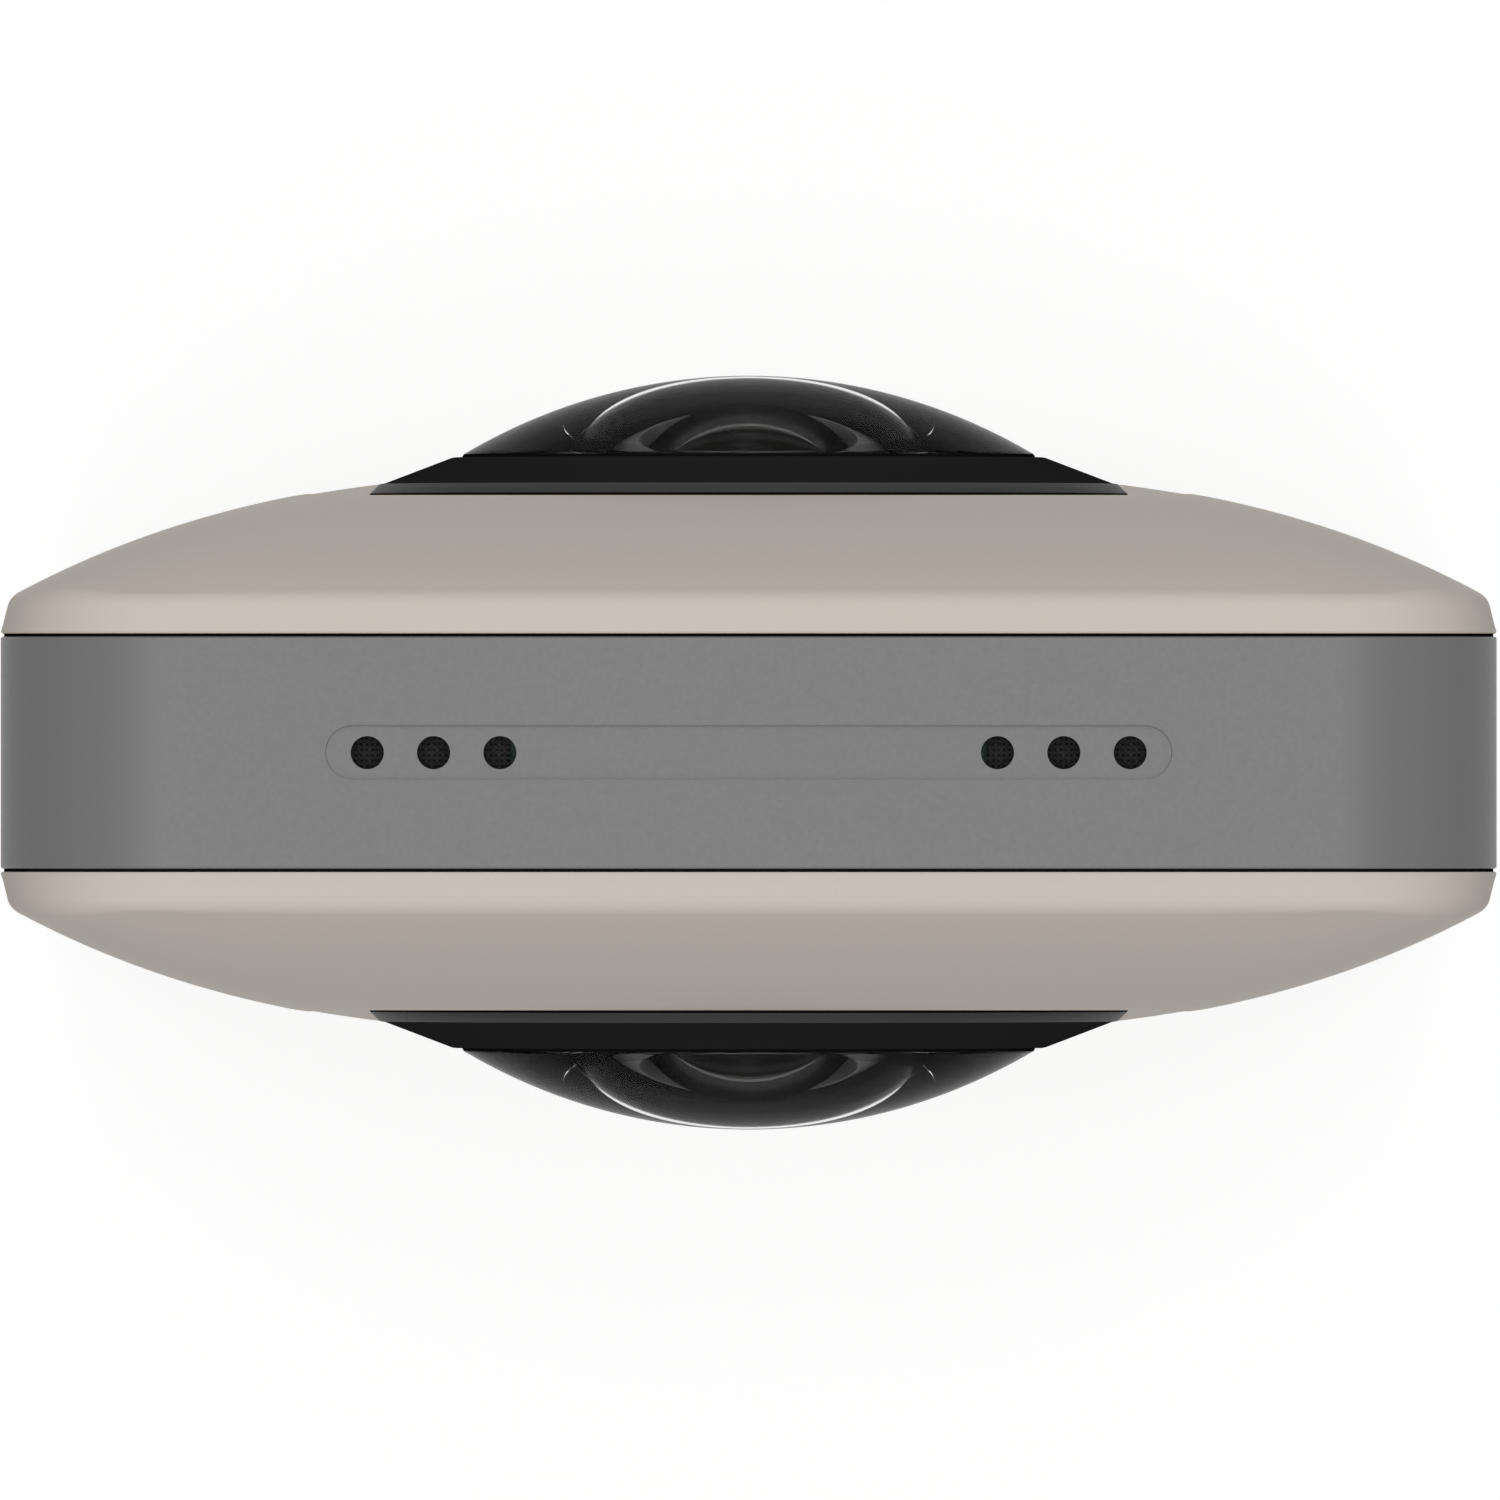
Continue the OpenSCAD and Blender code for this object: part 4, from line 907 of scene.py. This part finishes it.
def bar(u0, v0, u1, v1, width):
    """A straight stroke of a key mark, as corner points."""
    length = math.hypot(u1 - u0, v1 - v0)
    nu, nv = -(v1 - v0) / length * width / 2, (u1 - u0) / length * width / 2
    return [(u0 - nu, v0 - nv), (u1 - nu, v1 - nv), (u1 + nu, v1 + nv), (u0 + nu, v0 + nv)]


def bow(u, v, radius, width, start, end, steps=24):
    """A curved stroke of a key mark, as corner points."""
    angles = [math.radians(start + (end - start) * i / steps) for i in range(steps + 1)]
    outer, inner = radius + width / 2, radius - width / 2
    points = [(u + outer * math.cos(a), v + outer * math.sin(a)) for a in angles]
    return points + [(u + inner * math.cos(a), v + inner * math.sin(a)) for a in reversed(angles)]


KEY_MARKS = {
    "power": [bow(0, -0.05, 0.72, 0.16, 125, 415), bar(0, 0.1, 0, 0.95, 0.16)],
    "wireless": [bow(0, -0.6, 0.22, 0.2, 0, 359, 18), bow(0, -0.6, 0.66, 0.15, 48, 132),
                 bow(0, -0.6, 1.02, 0.15, 48, 132), bow(0, -0.6, 1.38, 0.15, 48, 132)],
    "mode": [bow(0, 0, 0.42, 0.15, 0, 359, 32),
             bar(-1.0, -0.72, 1.0, -0.72, 0.15), bar(-1.0, 0.72, 1.0, 0.72, 0.15),
             bar(-0.925, -0.65, -0.925, 0.65, 0.15), bar(0.925, -0.65, 0.925, 0.65, 0.15)],
    "timer": [bow(0, 0, 0.85, 0.15, 0, 359, 40), bar(0, 0.05, 0, 0.6, 0.15), bar(-0.05, 0, 0.45, 0, 0.15)],
}


def mark_cutter(stroke, height):
    """A stroke of a key mark as a cutter, from the floor of the mark outward."""
    n = len(stroke)
    points = [(x, u, height + v) for x in (MARK_FLOOR, KEY_FACE + 0.2) for u, v in stroke]
    faces = [(i, (i + 1) % n, n + (i + 1) % n, n + i) for i in range(n)]
    faces += [tuple(range(n - 1, -1, -1)), tuple(range(n, 2 * n))]
    return new_piece("stroke", mesh_from("stroke", points, faces))


def on_mark(face):
    return abs(face.center.x - MARK_FLOOR) < 0.003 and face.normal.x > 0.9


def side_key(name):
    """A side key: flange, rounded cap, stem and a cut mark."""
    height = KEY_HEIGHTS[name]
    line = rounded_outline(KEY_L, KEY_W, KEY_W / 2 - BARELY, bend=20)
    steps = [(KEY_EASE - KEY_FLANGE, KEY_FLANGE_BACK), (-KEY_FLANGE, KEY_FLANGE_BACK + KEY_EASE),
             (-KEY_FLANGE, KEY_FLANGE_FRONT - KEY_EASE), (KEY_EASE - KEY_FLANGE, KEY_FLANGE_FRONT),
             (0, KEY_FLANGE_FRONT), *rounding(KEY_ROUND, KEY_FACE, 5), (KEY_ROUND + 0.13, KEY_FACE)]
    key = flat_ends(loft(f"{name}_key_cap", rings_of(side_ring, line, steps, height)))
    stem_line = rounded_outline(KEY_STEM_W, KEY_STEM_W, KEY_STEM_W / 2 - BARELY, bend=8)
    stem_steps = ((0, KEY_STEM_BACK), (0, KEY_FLANGE_BACK + 0.35))
    stem = flat_ends(loft("stem", rings_of(side_ring, stem_line, stem_steps, height)))
    carve(key, [stem], "UNION")
    for stroke in KEY_MARKS[name]:
        carve(key, [mark_cutter(stroke, height)])
    paint_by(key, on_mark, 1)
    settle(key, name, "key_grey", f"{name}_key", [mark_paint])


for key_name in KEY_HEIGHTS:
    side_key(key_name)

window_line = rounded_outline(DISPLAY_W, DISPLAY_H, 0.8, bend=12, along_w=8, along_h=3)
window_steps = [(0.03, WINDOW_BACK), (0, WINDOW_BACK + 0.03), *rounding(WINDOW_ROUND, WINDOW_TOP, 4),
                (WINDOW_ROUND + 0.2, WINDOW_TOP)]
window = loft("display_window_pane", rings_of(upright, window_line, window_steps, DISPLAY_Z))
settle(window, "camera", "display_black", "display_window")

lamp_steps = ((0, 2), (LAMP_LIP_R, 2), (LAMP_LIP_R, 1.5), (LAMP_R, 1.5), (LAMP_R, 0.12),
              (LAMP_R - 0.03, 0.06), (0.6, 0.025), (0.4, 0.01), (0.2, 0.002), (0, 0))
lamp = lathe("status_lamp_pipe", [(r, LAMP_TOP - low) for r, low in lamp_steps], height=LAMP_Z, turns=64)
settle(lamp, "camera", "lamp_clear", "status_lamp")


# Woven mesh on a black film, under the sound holes
CLOTH_X = 9.7
CLOTH_SIZES = {"Length": 5.0, "Width": 2.2, "Wire pitch": 0.17, "Wire radius": 0.082, "Height": BODY_H - 1.78,
               "Middle": CLOTH_X}


def weave_tree():
    """Two crossed rows of waved wires, and a film under them."""
    tree = ShapeTree("acoustic_weave")
    length, width, pitch, wire, height, middle = tree.sizes(*CLOTH_SIZES)
    do = tree.math
    cloths = []
    for turn in (0, 1):
        along, across = "XY"[turn], "YX"[turn]
        run, span = (length, width) if turn == 0 else (width, length)
        half = do("MULTIPLY", run, 0.5)
        back = do("MULTIPLY", half, -1.0)
        strand = tree.new("GeometryNodeCurvePrimitiveLine", {"Start": tree.vector(**{along: back}),
                                                             "End": tree.vector(**{along: half})})
        count = tree.new("FunctionNodeFloatToInt", {0: do("DIVIDE", span, pitch)})
        start = do("MULTIPLY", do("SUBTRACT", span, pitch), -0.5)
        strands = tree.row(strand, count, tree.vector(**{across: start}), tree.vector(**{across: pitch}))
        whole = tree.new("GeometryNodeRealizeInstances", {"Geometry": strands})
        points = tree.new("FunctionNodeFloatToInt", {0: do("DIVIDE", do("MULTIPLY", run, 4.0), pitch)})
        fine = tree.new("GeometryNodeResampleCurve", {"Curve": whole, "Count": points})
        x, y, _ = tree.parts(tree.new("GeometryNodeInputPosition"))
        turn_rate = do("DIVIDE", math.pi, pitch)
        ups = do("SINE", do("MULTIPLY", x, turn_rate))
        downs = do("SINE", do("MULTIPLY", y, turn_rate))
        wave = do("MULTIPLY", do("MULTIPLY", ups, downs), do("MULTIPLY", wire, 1.0 - 2.0 * turn))
        moved = tree.move(fine, tree.vector(X=middle, Z=do("ADD", height, wave)))
        thread = tree.new("GeometryNodeCurvePrimitiveCircle", {"Resolution": 6, "Radius": wire})
        cloths.append(tree.sweep(moved, thread))
    film = tree.new("GeometryNodeMeshCube", {"Size": tree.vector(X=length, Y=width, Z=wire)})
    under = do("SUBTRACT", height, do("MULTIPLY", wire, 2.5))
    cloths.append(tree.move(film, tree.vector(X=middle, Z=under)))
    tree.close(tree.join(*cloths), PAINTS["mesh_black"])
    return tree


weave = weave_tree()
cloth = weave.grow("sound_mesh_cloth", CLOTH_SIZES)
other_cloth = weave.grow("other_cloth", {**CLOTH_SIZES, "Middle": -CLOTH_X})
cloth_shape = bmesh.new()
cloth_shape.from_mesh(cloth.data)
cloth_shape.from_mesh(other_cloth.data)
cloth_shape.to_mesh(cloth.data)
cloth_shape.free()
bpy.data.objects.remove(other_cloth)
settle(cloth, "camera", "mesh_black", "sound_meshes", sharp=80)


# Base: the threaded socket and the charging socket
THREAD_SIZES = {"Thread radius": THREAD_R, "Thread pitch": 1.27, "Turns": 4.2, "Thread depth": 0.5,
                "Start height": 0.6}
RIDGE_WIDTH = 0.84


def thread_tree():
    """A ridge wound up the inside of the tripod socket."""
    tree = ShapeTree("tripod_thread")
    radius, pitch, turns, depth, start = tree.sizes(*THREAD_SIZES)
    rise = tree.math("MULTIPLY", turns, pitch)
    width = tree.math("MULTIPLY", pitch, RIDGE_WIDTH)
    spiral = tree.new("GeometryNodeCurveSpiral", {
        "Resolution": 64, "Rotations": turns, "Start Radius": radius, "End Radius": radius, "Height": rise})
    stand = tree.new("GeometryNodeSetCurveNormal", {"Curve": spiral}, mode="Z_UP")
    ridge = tree.new("GeometryNodeCurvePrimitiveQuadrilateral",
                     {"Width": width, "Bottom Height": depth, "Top Height": depth}, mode="KITE")
    tree.close(tree.move(tree.sweep(stand, ridge), tree.vector(Z=start)), PAINTS["socket_metal"])
    return tree


socket = lathe("tripod_socket_turned", [
    (THREAD_R + 0.325, 0), (SOCKET_R - 0.1, 0), (SOCKET_R, 0.1), (SOCKET_R, SOCKET_TOP), (0, SOCKET_TOP),
    (0, THREAD_TOP), (THREAD_R, THREAD_TOP), (THREAD_R, 0.33)], axis="up", turns=128)
flange_line = rounded_outline(14.4, 6, 0.6, bend=6)
flange = loft("flange", rings_of(level_ring, flange_line, ((0, SOCKET_TOP - 1), (0, SOCKET_TOP + 1))))
carve(socket, [flange], "UNION")
settle(socket, "camera", "socket_metal", "tripod_socket")
thread = thread_tree().grow("tripod_thread_ridge", THREAD_SIZES)
clean(thread.data)
settle(thread, "camera", "socket_metal")


PORT_CUT = 0.4
PORT_EASE = 0.25


def port_line(w, t):
    """The outline of the charging socket: two corners cut off, all corners eased."""
    k = t * PORT_CUT
    corners = [(w / 2, t / 2), (-w / 2, t / 2), (-w / 2, k - t / 2), (k - w / 2, -t / 2), (w / 2 - k, -t / 2),
               (w / 2, k - t / 2)]
    out = []
    for i, here in enumerate(corners):
        before, after = Vector(corners[i - 1]), Vector(corners[(i + 1) % len(corners)])
        here = Vector(here)
        a = here + (before - here).normalized() * PORT_EASE
        b = here + (after - here).normalized() * PORT_EASE
        for j in range(6):
            s = j / 5
            p = (1 - s) ** 2 * a + 2 * s * (1 - s) * here + s * s * b
            out.append((p.x, p.y))
    return out


shell_out = port_line(7.5, 2.5)
shell_in = port_line(6.8, 1.8)
shell_lip = port_line(7.1, 2.1)
port = loft("usb_socket_shell", [level_ring(line, z, USB_X) for line, z in (
    (shell_out, USB_TOP), (shell_out, USB_LOW), (shell_lip, USB_LOW), (shell_in, USB_LOW + 0.2),
    (shell_in, USB_FLOOR))])
settle(port, "camera", "switch_steel", "usb_socket")


CONTACT_COUNT = 5
CONTACT_SIZES = {"Pitch": 0.65, "Width": 0.34, "Thickness": 0.08, "Length": 3.2, "Middle": USB_X,
                 "Face": -0.06, "Height": 3.2}


def contact_tree():
    """A row of flat contacts on the tongue."""
    tree = ShapeTree("port_contacts")
    count = tree.size("Count", "NodeSocketInt")
    pitch, width, thick, length, x, y, z = tree.sizes(*CONTACT_SIZES)
    gaps = tree.math("SUBTRACT", count, 1.0)
    first = tree.math("SUBTRACT", x, tree.math("MULTIPLY", gaps, tree.math("MULTIPLY", pitch, 0.5)))
    spring = tree.new("GeometryNodeMeshCube", {"Size": tree.vector(X=width, Y=thick, Z=length)})
    springs = tree.row(spring, count, tree.vector(X=first, Y=y, Z=z), tree.vector(X=pitch))
    tree.close(springs, contact_paint)
    return tree


tongue_line = [(u, v + TONGUE_Y, nu, nv) for u, v, nu, nv in rounded_outline(3.8, 0.65, 0.12, bend=5)]
tongue_steps = ((0.12, 1.2), (0.04, 1.24), (0, 1.34), (0, USB_FLOOR))
tongue = loft("usb_tongue_moulding", rings_of(level_ring, tongue_line, tongue_steps, USB_X))
settle(tongue, "camera", "matte_black", "usb_tongue")
contacts = contact_tree().grow("usb_contacts", {"Count": CONTACT_COUNT, **CONTACT_SIZES})
settle(contacts, "camera", "screw_steel", first=contact_paint)


# Stage: pale floor, soft light from above, even surroundings
def seen_directly(tree):
    """1 for what the camera, a reflection or a glass sees, 0 for the light that a surface gathers."""
    path = add(tree, "ShaderNodeLightPath").outputs
    value = path["Is Camera Ray"]
    for other in ("Is Glossy Ray", "Is Transmission Ray"):
        value = add(tree, "ShaderNodeMath", {0: value, 1: path[other]}, operation="MAXIMUM").outputs[0]
    return value


FLOOR_HALF = 9.0
FLOOR_GREY = 0.4
FLOOR_GLOW = 0.72
SKY_GATHERED = 0.25
SKY_SEEN = 1.0
floor_mesh = bpy.data.meshes.new("floor")
floor_corners = [(u * FLOOR_HALF, v * FLOOR_HALF, 0) for u, v in ((-1, -1), (1, -1), (1, 1), (-1, 1))]
floor_mesh.from_pydata(floor_corners, [], [(0, 1, 2, 3)])
floor = new_piece("floor", floor_mesh)
floor_paint, floor_tree, floor_shader = paint_tree("floor_pale")
floor_glow = add(floor_tree, "ShaderNodeMath", {0: seen_directly(floor_tree), 1: FLOOR_GLOW},
                 operation="MULTIPLY")
fill(floor_tree, floor_shader, {
    "Base Color": [*grey(FLOOR_GREY), 1], "Roughness": 1.0, "Specular IOR Level": 0.0,
    "Emission Color": (1, 1, 1, 1), "Emission Strength": floor_glow.outputs[0]})
floor_mesh.materials.append(floor_paint)

world = bpy.data.worlds.new("studio")
scene.world = world
world.use_nodes = True
sky_tree = world.node_tree
sky_level = add(sky_tree, "ShaderNodeMapRange", {
    "Value": seen_directly(sky_tree), "To Min": SKY_GATHERED, "To Max": SKY_SEEN})
fill(sky_tree, sky_tree.nodes["Background"], {"Color": (1, 1, 1, 1), "Strength": sky_level.outputs["Result"]})


LIGHT_AIM = Vector((0, 0, 0.08))


def soft_box(name, place, size, power):
    """A round soft light, in metres and watts, aimed at the body."""
    lamp_data = bpy.data.lights.new(name, "AREA")
    lamp_data.shape = "DISK"
    lamp_data.size = size
    lamp_data.energy = power
    light = bpy.data.objects.new(name, lamp_data)
    scene.collection.objects.link(light)
    light.location = place
    light.rotation_euler = (LIGHT_AIM - Vector(place)).to_track_quat("-Z", "Y").to_euler()
    light.visible_camera = False


soft_box("overhead", (0, 0, 3.0), 1.8, 48)
soft_box("front_box", (0, -2.2, 1.6), 1.2, 7.5)
soft_box("rear_box", (0, 2.2, 1.6), 1.2, 9.5)

# Camera straight above the top end, at the distance where the body fills the photograph's width
EYE_LENS = 1740
EYE_PLACE = (0.000039, 0.00008, 2.3162)
eye = bpy.data.cameras.new("eye")
eye.lens = EYE_LENS
eye.sensor_width = 36
eye.clip_start = 0.01
eye.clip_end = 60
camera = bpy.data.objects.new("eye", eye)
scene.collection.objects.link(camera)
camera.location = EYE_PLACE
scene.camera = camera
scene.view_settings.view_transform = "Standard"
